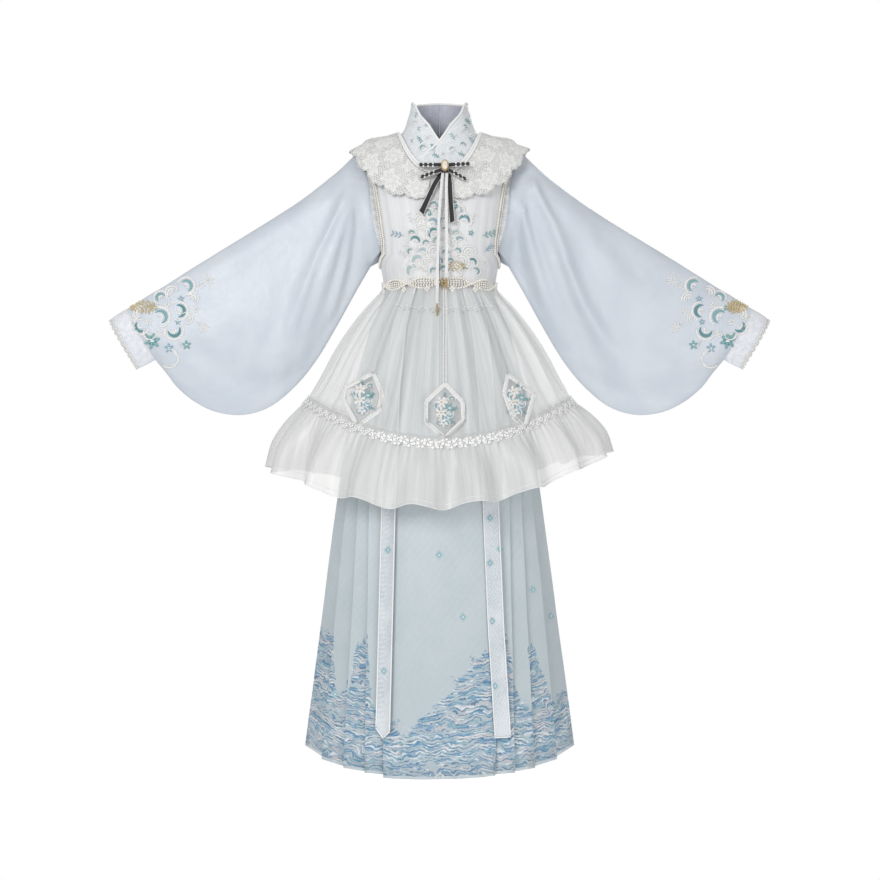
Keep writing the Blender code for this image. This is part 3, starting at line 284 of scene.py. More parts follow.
TAILS = {
    "bow_tail_left": (
        Strand(0.0040, -0.1034, -0.0977), Strand(-0.0015, -0.112, -0.0999), Strand(-0.010, -0.128, -0.1105),
        Strand(-0.022, -0.155, -0.1175), Strand(-0.037, -0.189, -0.1210),
    ),
    "bow_tail_right": (
        Strand(0.0185, -0.1034, -0.0977), Strand(0.0195, -0.112, -0.0999), Strand(0.021, -0.130, -0.1120),
        Strand(0.023, -0.168, -0.1200), Strand(0.026, -0.209, -0.1270),
    ),
}
TAIL_WIDTH = 0.010
TIES = {
    "ribbon_tie_left": (
        Strand(0.0070, -0.1035, -0.1060), Strand(0.0040, -0.130, -0.1160), Strand(0.000, -0.180, -0.1270),
        Strand(-0.002, -0.230, -0.1300), Strand(-0.004, -0.300, -0.1205), Strand(-0.0045, -0.338, -0.1210),
        Strand(-0.005, -0.374, -0.1425),
    ),
    "ribbon_tie_right": (
        Strand(0.0150, -0.1035, -0.1060), Strand(0.0140, -0.130, -0.1160), Strand(0.0140, -0.180, -0.1270),
        Strand(0.0145, -0.230, -0.1300), Strand(0.0145, -0.290, -0.1210), Strand(0.0140, -0.3195, -0.1175),
    ),
}
TIE_WIDTH = 0.006
TIE_TIP_HEIGHT = {"ribbon_tie_left": 0.026, "ribbon_tie_right": 0.024}
# The beads of a tie's tip: how far down they sit, as a share of its height, and their radii
TIP_BEADS = ((0.10, 0.0024), (0.30, 0.0030), (0.54, 0.0036), (0.76, 0.0026), (0.92, 0.0018))
KNOT_ROWS, KNOT_COLUMNS = 9, 24


def ease(value):
    """Smooth step from 0 to 1."""
    value = min(max(value, 0.0), 1.0)
    return value * value * (3.0 - 2.0 * value)


def between(rows, key, field, value):
    """Read a named column of a short table at a value of its key column, with straight runs."""
    for low, high in zip(rows, rows[1:]):
        first, last = getattr(low, key), getattr(high, key)
        if (first <= value <= last) or (first >= value >= last):
            share = (value - first) / (last - first)
            return getattr(low, field) + share * (getattr(high, field) - getattr(low, field))
    nearest = min(rows[0], rows[-1], key=lambda row: abs(value - getattr(row, key)))
    return getattr(nearest, field)


def section_at(table, place):
    """Blend the rows of a table at a fractional row number with a smooth curve through them."""
    last = len(table) - 1
    place = min(max(place, 0.0), float(last))
    row = min(int(place), last - 1)
    t = place - row
    a, b, c, d = (table[min(max(row + step, 0), last)] for step in (-1, 0, 1, 2))
    values = (
        q + 0.5 * t * (r - p + t * (2 * p - 5 * q + 4 * r - s + t * (3 * q - p - 3 * r + s)))
        for p, q, r, s in zip(a, b, c, d)
    )
    return type(table[0])(*values)


def ring_point(section, angle):
    """A point on a section's ring, which dips from the sides to the front and to the back."""
    front = math.cos(angle) > 0.0
    depth = section.front_depth if front else section.back_depth
    level = section.front_z if front else section.back_z
    dip = 1.0 - abs(math.sin(angle)) ** section.bend
    z = section.side_z + (level - section.side_z) * dip
    return Vector((section.half_width * math.sin(angle), -depth * math.cos(angle), z))


def on_surface(table, angle, place, lift=0.0):
    """A point of a table's surface, moved out along its normal by the lift."""
    point = ring_point(section_at(table, place), angle)
    if lift:
        here = section_at(table, place)
        around = ring_point(here, angle + NORMAL_STEP) - ring_point(here, angle - NORMAL_STEP)
        below = ring_point(section_at(table, place + NORMAL_STEP), angle)
        down = below - ring_point(section_at(table, place - NORMAL_STEP), angle)
        point += down.cross(around).normalized() * lift
    return point


def facing_surface(table, x, z, lift):
    """The point on the front of a table's surface that is seen at x and z."""
    low, high = 0.0, float(len(table) - 1)
    for _ in range(SEARCH_STEPS):
        place = (low + high) / 2
        section = section_at(table, place)
        angle = math.asin(min(max(x / section.half_width, -1.0), 1.0))
        if ring_point(section, angle).z > z:
            low = place
        else:
            high = place
    return on_surface(table, angle, place, lift)


def line_direction(points, index, wraps):
    """The direction of a line of points at one of them, carried on through an open end."""
    count = len(points)
    steps = []
    for offset in (-2, -1, 0, 1):
        start, end = index + offset, index + offset + 1
        within = wraps or (start >= 0 and end < count)
        steps.append((points[end % count] - points[start % count]).normalized() if within else None)
    before, after = steps[1], steps[2]
    if before is None:
        return after * 1.5 - steps[3] * 0.5 if steps[3] else after
    if after is None:
        return before * 1.5 - steps[0] * 0.5 if steps[0] else before
    return before + after


def grid_normals(grid, wraps):
    """Outward normals of a grid whose rows run down the cloth and whose columns run to the right."""
    columns = [[row[j] for row in grid] for j in range(len(grid[0]))]
    normals = []
    for i, row in enumerate(grid):
        line = []
        for j in range(len(row)):
            around = line_direction(row, j, wraps)
            down = line_direction(columns[j], i, False)
            line.append(down.cross(around).normalized())
        normals.append(line)
    return normals


def mirrored(grid):
    """The same grid on the other side, still with its outer face out."""
    return [[Vector((-point.x, point.y, point.z)) for point in reversed(row)] for row in grid]


def armhole_limit(cuts, place):
    """How far a panel reaches round at a place: to the side seam, or to the armhole's edge."""
    if cuts[0].place <= place <= cuts[-1].place:
        return math.radians(between(cuts, "place", "angle", place))
    return math.pi / 2


def neck_place(angle):
    """The place of the vest's round neckline on the body table."""
    fall = 1.0 if math.cos(angle) > 0.0 else NECK_BACK_FALL
    return NECK_PLACE + fall * math.cos(angle) ** 2


def vest_lift(angle, place):
    """How far the vest stands off the shirt: least on the side seam, most over the waistband."""
    lift = VEST_LIFT_SIDE + VEST_LIFT_MIDDLE * abs(math.cos(angle))
    lift += VEST_LIFT_NECK * (1.0 - ease((place - 2.7) / 0.8))
    lift += VEST_LIFT_TIP * (1.0 - ease(abs(place - SHOULDER) / 0.6)) * abs(math.sin(angle))
    return lift + VEST_LIFT_WAIST * ease((place - 7.5) / 1.5)


def panel_grid(rows, cuts, columns, start_side, end_side, top_place, lift, centre):
    """A body panel between two sides, -1 to 1 as shares of its reach, about a centre angle."""
    grid = []
    for place in rows:
        reach = armhole_limit(cuts, place) - SEAM_ANGLE
        line = []
        for step in range(columns):
            side = start_side + (end_side - start_side) * step / (columns - 1)
            angle = centre + side * reach
            pull = 1.0 - ease((place - rows[0]) / (SHOULDER - rows[0])) if place < SHOULDER else 0.0
            fitted = place + (top_place(angle) - rows[0]) * pull
            line.append(on_surface(BODY, angle, fitted, lift(angle, fitted)))
        grid.append(line)
    return grid


def armhole_ring(half_points):
    """The shirt's armhole edge as a ring: down the back from the shoulder and up the front."""
    top, bottom = SHIRT_ARMHOLE[0].place, SHIRT_ARMHOLE[-1].place
    ring = []
    for step in range(2 * half_points):
        share = step / half_points
        front = share > 1.0
        place = top + (bottom - top) * (2.0 - share if front else share)
        angle = armhole_limit(SHIRT_ARMHOLE, place)
        angle = angle if front else math.pi - angle
        point = on_surface(BODY, angle, place)
        ring.append(point + Vector((ARMHOLE_GAP, 0.0, 0.0)))
    return ring


def sleeve_ring(section, half_points):
    """One ring of a sleeve: full at the top, thin towards the hanging lower edge."""
    top = Vector((section.top_x, 0.0, section.top_z))
    low = Vector((section.low_x, 0.0, section.low_z))
    middle = (top + low) / 2
    ring = []
    for step in range(2 * half_points):
        turn = math.pi * step / half_points
        share = (1.0 - math.cos(turn)) / 2
        thick = section.half_thick * (1.0 - BELLY_THINNING * share * share)
        point = middle + (top - middle) * math.cos(turn)
        point.y = thick * math.sin(turn)
        ring.append(point)
    return ring


def peplum_wave(angle):
    """Uneven gathers, from -1 to 1, level at the side seams and the centre front."""
    return math.cos(PEPLUM_FOLDS * angle + 0.9 * math.sin(2 * angle) + 0.6 * math.sin(6 * angle))


def ruffle_wave(angle):
    """Deep, uneven flutes with a crest to the right of the centre front."""
    turn = angle - RUFFLE_CREST_ANGLE
    return math.cos(RUFFLE_WAVES * turn + 0.5 * math.sin(2 * turn))


def skirt_point(section, angle, level):
    """A point of the skirt's ring at an angle, raised from the ring by a level."""
    depth = section.front_depth if math.cos(angle) > 0.0 else section.back_depth
    sine, cosine = math.sin(angle), math.cos(angle)
    normal = Vector((sine * depth, -cosine * section.half_width, 0.0)).normalized()
    point = Vector((section.half_width * sine, -depth * cosine, section.z)) + normal * level
    if section is SKIRT[-1]:
        point.z += HEM_SIDE_RISE * sine**4 + HEM_TILT * point.x
    return point


def pleat_angle(pleat, section):
    """The angle of a pleat's folded edge at a section: it closes up towards the waist."""
    rise = (section.z - SKIRT[-1].z) / (SKIRT[0].z - SKIRT[-1].z)
    return math.radians(pleat.hem_angle + (pleat.waist_angle - pleat.hem_angle) * rise * rise)


def fold_corners(pleat, section):
    """The four corners of a pleat's fold and tuck, as pairs of an angle and a level."""
    strength = section.pleating
    edge = pleat_angle(pleat, section)
    radius = (section.half_width + section.front_depth) / 2
    spread = FLAT_SPACING * (1.0 - strength) / radius
    tuck = PLEAT_TUCK * max(0.0, strength - TUCK_START) / (1.0 - TUCK_START) / radius
    return [
        (edge, PLEAT_HEIGHT * strength),
        (edge + spread, (PLEAT_HEIGHT - PLEAT_BLUNT) * strength),
        (edge - tuck + 2 * spread, PLEAT_HOLLOW * strength),
        (edge - tuck + 3 * spread, 0.0),
    ]


def pleated_line(section):
    """The pleated side from the front panel to the back panel, as pairs of an angle and a level."""
    line = [fold_corners(PLEATS[0], section)[3]]
    for pleat in PLEATS[1:]:
        corners = fold_corners(pleat, section)
        line += corners
    side = [(math.pi / 2, 0.0)]
    return line + side + [(math.pi - angle, level) for angle, level in reversed(line)]


def shirt_outside(angle, z, lift):
    """A point just outside the shirt at a height near the waist, where its rings are level."""
    levels = [Cut(i, row.front_z) for i, row in enumerate(BODY)]
    place = between(levels[UNDERARM:], "angle", "place", z)
    point = on_surface(BODY, angle, place, lift)
    return Vector((point.x, point.y, z))


def skirt_face(x, z, level):
    """The point on the front of the skirt at x and z, raised by a level."""
    section = SkirtSection(z, *(between(SKIRT, "z", field, z) for field in SkirtSection._fields[1:]))
    angle = math.asin(x / section.half_width)
    return skirt_point(section, angle, level + PLEAT_HEIGHT * section.pleating)


# The photo's camera: where its eye is and how much of the world a pixel of the 880 px frame shows
EYE = Vector((0.001, -2.6, -0.65))
FRAME_PIXELS = 880
PIXEL_AT_ORIGIN = 0.00213
HALF_FRAME = FRAME_PIXELS / 2

CLOTH_WALL = 0.0009
PADDED_WALL = 0.0013
CUFF_LACE_WALL = 0.0007
CAPE_WALL = 0.0008
STRAP_WALL = 0.0014
RIBBON_CLOTH_WALL = 0.0008
TIE_WALL = 0.0007
SEAM_LACE_WALL = 0.0006

# Radii of the cords that are laid along seams and edges
STITCH_CORD = 0.0008
LACE_CORD = 0.0009
BINDING_CORD = 0.0021

# Points across a narrow strip of cloth, as shares of its half width
FIVE_ACROSS = (-1.0, -0.5, 0.0, 0.5, 1.0)

# The narrowest cloth that is declared as a sheet, and the least area of one as a share of its box
# The angle between faces above which a cloth's edge is shaded sharp
SHARP_ANGLE = math.radians(50)
COLLECTION = bpy.data.collections.new("hanfu_dress_set_looks")
bpy.context.scene.collection.children.link(COLLECTION)

# The outer grid of each cloth and whether it goes all round
GRIDS = {}

# A listed fold: the shares of its path where it has risen and where it sinks, and how far it sinks
Crease = namedtuple("Crease", "path height width")
FOLD_RISEN, FOLD_SINKS, FOLD_SINK = 0.16, 0.6, 0.45
# Its width at the start and what it gains along the path, and its reach to the sides, in widths
FOLD_START_WIDTH, FOLD_WIDENING = 0.5, 1.15
FOLD_SEARCH, FOLD_REACH = 3.2, 2.4


def front_view(point, behind):
    """Where a point is in the photo's frame, or in the same frame seen from behind, in pixels."""
    away = point.y - EYE.y if not behind else -EYE.y - point.y
    scale = PIXEL_AT_ORIGIN * away / -EYE.y
    return HALF_FRAME + (point.x - EYE.x) / scale, HALF_FRAME - (point.z - EYE.z) / scale


def crease_height(creases, point, behind):
    """Height of the listed folds at a point. Each starts narrow, widens along its path and sinks."""
    x, y = front_view(point, behind)
    total = 0.0
    for crease in creases:
        nearest, where = 1e9, 0.0
        reach = FOLD_SEARCH * crease.width
        spans = len(crease.path) - 1
        for index, ((ax, ay), (bx, by)) in enumerate(zip(crease.path, crease.path[1:])):
            if min(ax, bx) - reach > x or max(ax, bx) + reach < x:
                continue
            run_x, run_y = bx - ax, by - ay
            share = ((x - ax) * run_x + (y - ay) * run_y) / (run_x * run_x + run_y * run_y)
            share = min(max(share, 0.0), 1.0)
            off = math.hypot(x - ax - share * run_x, y - ay - share * run_y)
            if off < nearest:
                nearest, where = off, (index + share) / spans
        width = crease.width * (FOLD_START_WIDTH + FOLD_WIDENING * where)
        if nearest < FOLD_REACH * width:
            sunk = FOLD_SINK * ease((where - FOLD_SINKS) / (1.0 - FOLD_SINKS))
            rise = ease(where / FOLD_RISEN) * (1.0 - sunk)
            total += crease.height * rise * math.exp(-((nearest / width) ** 2))
    return total


def soft_noise(point, size):
    """Smooth unevenness from -1 to 1, whose bumps have about the given size."""
    return noise.noise(point / size)


def through(a, b, c, d, share):
    """A smooth curve from b to c that also heeds the points before and after them."""
    return b + 0.5 * share * (c - a + share * (2 * a - 5 * b + 4 * c - d + share * (3 * b - a - 3 * c + d)))


def denser(line, steps, wraps=False, smooth=True):
    """The same line with each stretch cut into equal steps."""
    count = len(line)
    result = []
    for i in range(count if wraps else count - 1):
        b, c = line[i], line[(i + 1) % count]
        a = line[i - 1] if wraps or i > 0 else b * 2 - c
        d = line[(i + 2) % count] if wraps or i < count - 2 else c * 2 - b
        for step in range(steps):
            share = step / steps
            result.append(through(a, b, c, d, share) if smooth else b.lerp(c, share))
    if not wraps:
        result.append(line[-1].copy())
    return result


def refined(grid, down, across, wraps=False, smooth_down=True, smooth_across=True):
    """A grid with more rows and columns on the same form."""
    rows = [denser(row, across, wraps, smooth_across) for row in grid]
    columns = [denser([row[j] for row in rows], down, False, smooth_down) for j in range(len(rows[0]))]
    return [[column[i] for column in columns] for i in range(len(columns[0]))]


def finer(values, steps):
    """The same rising numbers with each stretch cut into equal steps."""
    result = []
    for low, high in zip(values, values[1:]):
        result += [low + (high - low) * step / steps for step in range(steps)]
    return result + [values[-1]]


def raised(grid, height, wraps=False):
    """A grid moved out along its normals by a height worked out for each point."""
    normals = grid_normals(grid, wraps)
    result = []
    for i, row in enumerate(grid):
        result.append([point + normals[i][j] * height(i, j, point) for j, point in enumerate(row)])
    return result


def padded(grid, height, roundness, wraps=False):
    """A grid that swells between its first and its last row."""
    last = len(grid) - 1
    return raised(grid, lambda i, j, p: height * math.sin(math.pi * i / last) ** roundness, wraps)


def all_of(rows):
    """The items of all rows as one list."""
    return [item for row in rows for item in row]


def full_turn(count):
    """The angles of a whole turn in equal steps."""
    return [2 * math.pi * step / count for step in range(count)]


def rim_of(grid):
    """The line down one side of a grid, along its last row and up the other side."""
    return [row[0] for row in grid] + grid[-1][1:] + [row[-1] for row in reversed(grid[:-1])]


def lengths(line, wraps=False):
    """Distance along a line at each of its points, and at its end where it goes round."""
    total, result = 0.0, [0.0]
    for a, b in zip(line, line[1:] + line[:1] if wraps else line[1:]):
        total += (b - a).length
        result.append(total)
    return result


def gather_lines(grid):
    """A measure across the cloth that stays the same down each of its gathers."""
    width = lengths(grid[-1])[-1]
    last = len(grid[0]) - 1
    return [[width * j / last for j in range(last + 1)] for _ in grid]


def nodes_of(name):
    """The CAD nodes of a piece, which is held in one or more parts."""
    return sorted(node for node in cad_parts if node.startswith(name))


def new_mesh(name, points, faces, places):
    """A smooth mesh, with real-size UVs where the place of each of its corners is given."""
    mesh = bpy.data.meshes.new(name)
    mesh.from_pydata([tuple(point) for point in points], [], faces)
    if places:
        layer = mesh.uv_layers.new(name="cut")
        for corner, place in zip(layer.data, places):
            corner.uv = place
    mesh.shade_smooth()
    return mesh


def new_piece(name, mesh, looks, nodes):
    """A piece on the root body in its looks, in the place of CAD nodes where it has them."""
    for look in looks:
        mesh.materials.append(LOOKS[look])
    thing = bpy.data.objects.new(name, mesh)
    COLLECTION.objects.link(thing)
    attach(thing, "root")
    if nodes:
        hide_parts(*nodes)
    return thing


def cloth(
    name, grid, look, wraps=False, wall=CLOTH_WALL, marks=None,
    fan=False, lined=False, ending="_cloth",
):
    """One piece of cloth from its outer grid, with real-size UVs, its thickness and its flat cut.

    On a fan the pattern follows the columns, which spread from one edge to the other. Where asked, the inner
    face takes a lining colour darkened as painted shade.
    """
    GRIDS[name] = grid, wraps
    rows, columns = len(grid), len(grid[0])
    spans = columns if wraps else columns - 1
    along = [lengths(row, wraps) for row in grid]
    down = [lengths([row[j] for row in grid]) for j in range(columns)]
    mean_width = sum(row[-1] for row in along) / rows
    faces, places = [], []
    for i in range(rows - 1):
        for j in range(spans):
            corners = ((i, j), (i + 1, j), (i + 1, j + 1), (i, j + 1))
            faces.append([r * columns + c % columns for r, c in corners])
            for r, c in corners:
                place = along[r][c] - along[r][-1] / 2
                if fan:
                    place = (c / spans - 0.5) * mean_width
                places.append((place, down[c % columns][r] - down[c % columns][-1]))
    mesh = new_mesh(name + ending, all_of(grid), faces, places)
    if marks:
        field = mesh.attributes.new("marks", "FLOAT", "POINT")
        for item, value in zip(field.data, all_of(marks)):
            item.value = value
    mesh.set_sharp_from_angle(angle=SHARP_ANGLE)
    thing = new_piece(name + ending, mesh, (look, "lining") if lined else (look,), nodes_of(name))
    if wall:
        thickness = thing.modifiers.new("Wall", "SOLIDIFY")
        thickness.thickness = wall
        thickness.offset = -1.0
        thickness.material_offset = 1 if lined else 0
    return thing


def trim(name, lumps, looks, nodes=(), slots=None, places=None):
    """A small joined piece that is laid on the cloth, such as needlework, pearls or piping."""
    points, faces = joined(lumps)
    corners = [places[index] for face in faces for index in face] if places else None
    mesh = new_mesh(name, points, faces, corners)
    if slots:
        mesh.polygons.foreach_set("material_index", slots)
    return new_piece(name, mesh, looks, nodes)


def tree_of(*names):
    """A tree for laying things on cloth, from the grids of one or more pieces."""
    points, faces = [], []
    for grid, wraps in (GRIDS[name] for name in names):
        start, columns = len(points), len(grid[0])
        points += all_of(grid)
        for i in range(len(grid) - 1):
            for j in range(columns if wraps else columns - 1):
                k = (j + 1) % columns
                low, high = start + i * columns, start + (i + 1) * columns
                faces.append((low + j, high + j, high + k, low + k))
    return BVHTree.FromPolygons(points, faces)


def seen_at(tree, x, y, behind):
    """The point and outward normal of a cloth at a pixel of the view from the front or from behind."""
    scale = PIXEL_AT_ORIGIN / -EYE.y
    side = -1.0 if behind else 1.0
    start = Vector((EYE.x, EYE.y * side, EYE.z))
    way = Vector(((x - HALF_FRAME) * scale, side, (HALF_FRAME - y) * scale)).normalized()
    point, normal, _, _ = tree.ray_cast(start, way)
    if point is None:
        return None
    return point, (-normal if normal.dot(way) > 0.0 else normal)


def tube_points(line, radius, sides, closed=False):
    """Points and faces of a round cord along a line."""
    points, faces = [], []
    count = len(line)
    turns = full_turn(sides)
    up = Vector((0.0, 0.0, 1.0))
    for i, point in enumerate(line):
        before = line[i - 1] if closed or i > 0 else point
        after = line[(i + 1) % count] if closed or i < count - 1 else point
        along = (after - before).normalized()
        hint = up if abs(along.z) < 0.9 else Vector((0.0, 1.0, 0.0))
        aside = along.cross(hint).normalized()
        over = aside.cross(along)
        for turn in turns:
            points.append(point + (aside * math.cos(turn) + over * math.sin(turn)) * radius)
    for i in range(count if closed else count - 1):
        for side in range(sides):
            k, n = (side + 1) % sides, (i + 1) % count
            faces.append((i * sides + side, i * sides + k, n * sides + k, n * sides + side))
    if not closed:
        faces.append(tuple(range(sides - 1, -1, -1)))
        faces.append(tuple((count - 1) * sides + side for side in range(sides)))
    return points, faces


def joined(lumps):
    """Several lots of points and faces as one."""
    points, faces = [], []
    for lump_points, lump_faces in lumps:
        start = len(points)
        points += lump_points
        faces += [tuple(start + index for index in face) for face in lump_faces]
    return points, faces


def bead_model(subdivisions):
    model = bmesh.new()
    bmesh.ops.create_icosphere(model, subdivisions=subdivisions, radius=1.0)
    points = [vertex.co.copy() for vertex in model.verts]
    faces = [tuple(vertex.index for vertex in face.verts) for face in model.faces]
    model.free()
    return points, faces


BEAD, FINE_BEAD = bead_model(2), bead_model(3)

# Needlework colours by their place in the list of threads
THREADS = ("white", "teal", "dark_teal", "blue", "gold_thread", "pale_teal")
WHITE, TEAL, DARK_TEAL, BLUE, GOLD, TEAL_PALE = range(len(THREADS))
# A stitch across its width, as shares of its half width and of its height
STITCH_FORM = ((-1.0, 0.0), (-0.55, 0.8), (0.0, 1.0), (0.55, 0.8), (1.0, 0.0))


def bead(centre, radius, tall=None):
    size = Vector((radius, radius, tall or radius))
    return [centre + point * size for point in BEAD[0]], BEAD[1]


class Needlework:
    """Raised stitches, petals and scrolls laid on a cloth, placed by pixels of the front view."""

    def __init__(self, tree, behind, lift):
        self.tree, self.behind, self.lift = tree, behind, lift
        self.points, self.faces, self.slots, self.places = [], [], [], []

    def lay(self, x, y, height):
        found = seen_at(self.tree, x, y, self.behind)
        if found is None:
            return None
        self.points.append(found[0] + found[1] * (self.lift + height))
        return len(self.points) - 1

    def stroke(self, path, widths, slot, height, steps=5):
        """A stitched band along a path, as wide at each of its points as the widths say."""
        line = denser([Vector((x, y, w)) for (x, y), w in zip(path, widths)], steps)
        rows, run = [], 0.0
        for i, here in enumerate(line):
            before, after = line[max(i - 1, 0)], line[min(i + 1, len(line) - 1)]
            along = Vector((after.x - before.x, after.y - before.y))
            along = along.normalized() if along.length > 1e-9 else Vector((1.0, 0.0))
            half = max(here.z, 0.05) / 2
            run += (Vector((here.x, here.y)) - Vector((before.x, before.y))).length
            row = []
            for side, up in STITCH_FORM:
                off_x, off_y = -along.y * half * side, along.x * half * side
                index = self.lay(here.x + off_x, here.y + off_y, height * up)
                row.append(index)
                if index is not None:
                    self.places.append((run * PIXEL_AT_ORIGIN, half * side * PIXEL_AT_ORIGIN))
            rows.append(row)
        for low, high in zip(rows, rows[1:]):
            for k in range(len(STITCH_FORM) - 1):
                face = (low[k], low[k + 1], high[k + 1], high[k])
                if None not in face:
                    self.faces.append(face if self.behind else face[::-1])
                    self.slots.append(slot)

    def petal(self, x, y, angle, length, width, slot, height=0.0014):
        run = (math.cos(angle), -math.sin(angle))
        path = [(x + run[0] * length * s, y + run[1] * length * s) for s in (0.0, 0.3, 0.65, 0.9, 1.0)]
        self.stroke(path, (0.2 * width, 0.75 * width, width, 0.6 * width, 0.1), slot, height, 2)

    def flower(self, x, y, radius, petals, slot, heart, turn=0.0):
        for angle in full_turn(petals):
            self.petal(x, y, turn + angle, radius, 2.6 * radius / petals, slot)
        if heart is not None:
            self.dot(x, y, radius * 0.26, heart)

    def dot(self, x, y, radius, slot, height=0.0016):
        self.stroke(
            [(x - radius, y), (x - radius * 0.6, y), (x + radius * 0.6, y), (x + radius, y)],
            (0.2, 1.7 * radius, 1.7 * radius, 0.2), slot, height, 2,
        )

    def arc(self, x, y, radius, start, sweep, width, slot, shrink, taper, height=0.0013):
        """A curved stroke about a centre: a crescent, or a scroll where the radius shrinks."""
        count = max(5, int(abs(sweep) / 0.5) + 2)
        path, widths = [], []
        for i in range(count):
            share = i / (count - 1)
            angle, reach = start + sweep * share, radius * shrink**share
            path.append((x + reach * math.cos(angle), y - reach * math.sin(angle)))
            widths.append(width * (taper + (1.0 - taper) * math.sin(math.pi * share) ** 0.7))
        self.stroke(path, widths, slot, height, 3)

    def finish(self, name, slot):
        trim(name, [(self.points, self.faces)], THREADS, (), self.slots, self.places)


class Finish:
    """A Principled material whose colour, roughness, relief and holes come from nodes."""

    def __init__(self, name, roughness, **constants):
        self.material = bpy.data.materials.new(name)
        self.material.use_nodes = True
        self.tree = self.material.node_tree
        self.shader = self.tree.nodes["Principled BSDF"]
        self.shader.inputs["Roughness"].default_value = roughness
        for socket, value in constants.items():
            self.shader.inputs[socket.replace("_", " ")].default_value = value
        self.coordinates = None

    def feed(self, socket, value):
        if isinstance(value, bpy.types.NodeSocket):
            self.tree.links.new(value, socket)
        else:
            socket.default_value = value

    def add(self, kind, inputs=(), **settings):
        node = self.tree.nodes.new(kind)
        for key, value in settings.items():
            setattr(node, key, value)
        for socket, value in inputs:
            self.feed(node.inputs[socket], value)
        return node

    def put(self, socket, value):
        self.feed(self.shader.inputs[socket], value)

    def math(self, operation, first, second=0.0):
        return self.add("ShaderNodeMath", ((0, first), (1, second)), operation=operation).outputs[0]

    def plus(self, first, second):
        return self.math("ADD", first, second)

    def minus(self, first, second):
        return self.math("SUBTRACT", first, second)

    def times(self, first, second):
        return self.math("MULTIPLY", first, second)

    def straight(self, value, slope, offset):
        """The value times a slope, plus an offset."""
        inputs = ((0, value), (1, slope), (2, offset))
        return self.add("ShaderNodeMath", inputs, operation="MULTIPLY_ADD").outputs[0]

    def uv(self):
        """Metres along the cloth and down it, as two sockets."""
        if self.coordinates is None:
            source = self.add("ShaderNodeTexCoord")
            parts = self.add("ShaderNodeSeparateXYZ", ((0, source.outputs["UV"]),))
            self.coordinates = (source.outputs["UV"], parts.outputs[0], parts.outputs[1])
        return self.coordinates

    def noise(self, size, detail=2.0, roughness=0.5, vector=None):
        vector = vector or self.uv()[0]
        inputs = (("Vector", vector), ("Scale", 1.0 / size), ("Detail", detail), ("Roughness", roughness))
        return self.add("ShaderNodeTexNoise", inputs).outputs["Fac"]

    def ripple(self, coordinate, period, phase=0.0):
        return self.math("SINE", self.straight(coordinate, 2 * math.pi / period, phase))

    def mix(self, share, first, second):
        node = self.add("ShaderNodeMix", data_type="RGBA")
        self.feed(node.inputs[0], share)
        for index, value in ((6, first), (7, second)):
            self.feed(node.inputs[index], (*value, 1.0) if isinstance(value, tuple) else value)
        return node.outputs[2]

    def spread(self, value, low, high, to_low=0.0, to_high=1.0):
        """Map a range of values to another, smoothly and without running past its ends."""
        ends = (("From Min", low), ("From Max", high), ("To Min", to_low), ("To Max", to_high))
        node = self.add("ShaderNodeMapRange", (("Value", value), *ends), interpolation_type="SMOOTHSTEP")
        return node.outputs["Result"]

    def relief(self, height, distance, strength, below=None):
        inputs = [("Height", height), ("Distance", distance), ("Strength", strength)]
        if below is not None:
            inputs.append(("Normal", below))
        normal = self.add("ShaderNodeBump", inputs).outputs[0]
        self.put("Normal", normal)
        return normal

    def weave(self, period):
        """Threads over and under each other, from 0 to 1."""
        _, u, v = self.uv()
        crossing = self.times(self.ripple(u, period), self.ripple(v, period))
        return self.straight(crossing, 0.5, 0.5)

    def tile(self, size_u, size_v):
        """The place inside repeated tiles, from -0.5 to 0.5, with every other row moved by half a tile."""
        _, u, v = self.uv()
        across = self.math("DIVIDE", u, size_u)
        up = self.math("DIVIDE", v, size_v)
        odd = self.math("FLOORED_MODULO", self.math("FLOOR", up), 2.0)
        across = self.plus(across, self.times(odd, 0.5))
        return (
            self.minus(self.math("FRACT", across), 0.5),
            self.minus(self.math("FRACT", up), 0.5),
        )

    def rosette(self, size_u, size_v, petals, inner, swing, soft=0.04, turn=0.0):
        """A repeated flower as a mask: 1 inside the petals and 0 between the flowers."""
        x, y = self.tile(size_u, size_v)
        radius = self.math("SQRT", self.plus(self.times(x, x), self.times(y, y)))
        angle = self.math("ARCTAN2", y, x)
        lobes = self.math("COSINE", self.plus(self.times(angle, petals), turn))
        edge = self.plus(self.times(lobes, swing), inner)
        return self.spread(self.minus(edge, radius), -soft, soft)


def shaded(colour, share):
    """A colour made darker or lighter, short of pure white."""
    return tuple(min(c * share, BRIGHTEST) for c in colour)


def cloth_colours(finish, light, dark, size):
    """A slow drift between two near colours, as light cloth shows."""
    return finish.mix(finish.spread(finish.noise(size, 3.0), 0.35, 0.65), dark, light)


def make_satin():
    finish = Finish("blue_satin", 0.34, Sheen_Weight=0.30, Sheen_Roughness=0.4, Specular_IOR_Level=0.5)
    finish.put("Base Color", cloth_colours(finish, SATIN_LIGHT, SATIN_DARK, 0.09))
    weave = finish.weave(0.0007)
    finish.put("Roughness", finish.spread(finish.noise(0.012, 3.0), 0.3, 0.7, 0.34, 0.44))
    wrinkles = finish.noise(0.028, 4.0, 0.55)
    below = finish.relief(weave, 0.00012, 0.35)
    finish.relief(wrinkles, 0.0016, 0.35, below)
    return finish.material


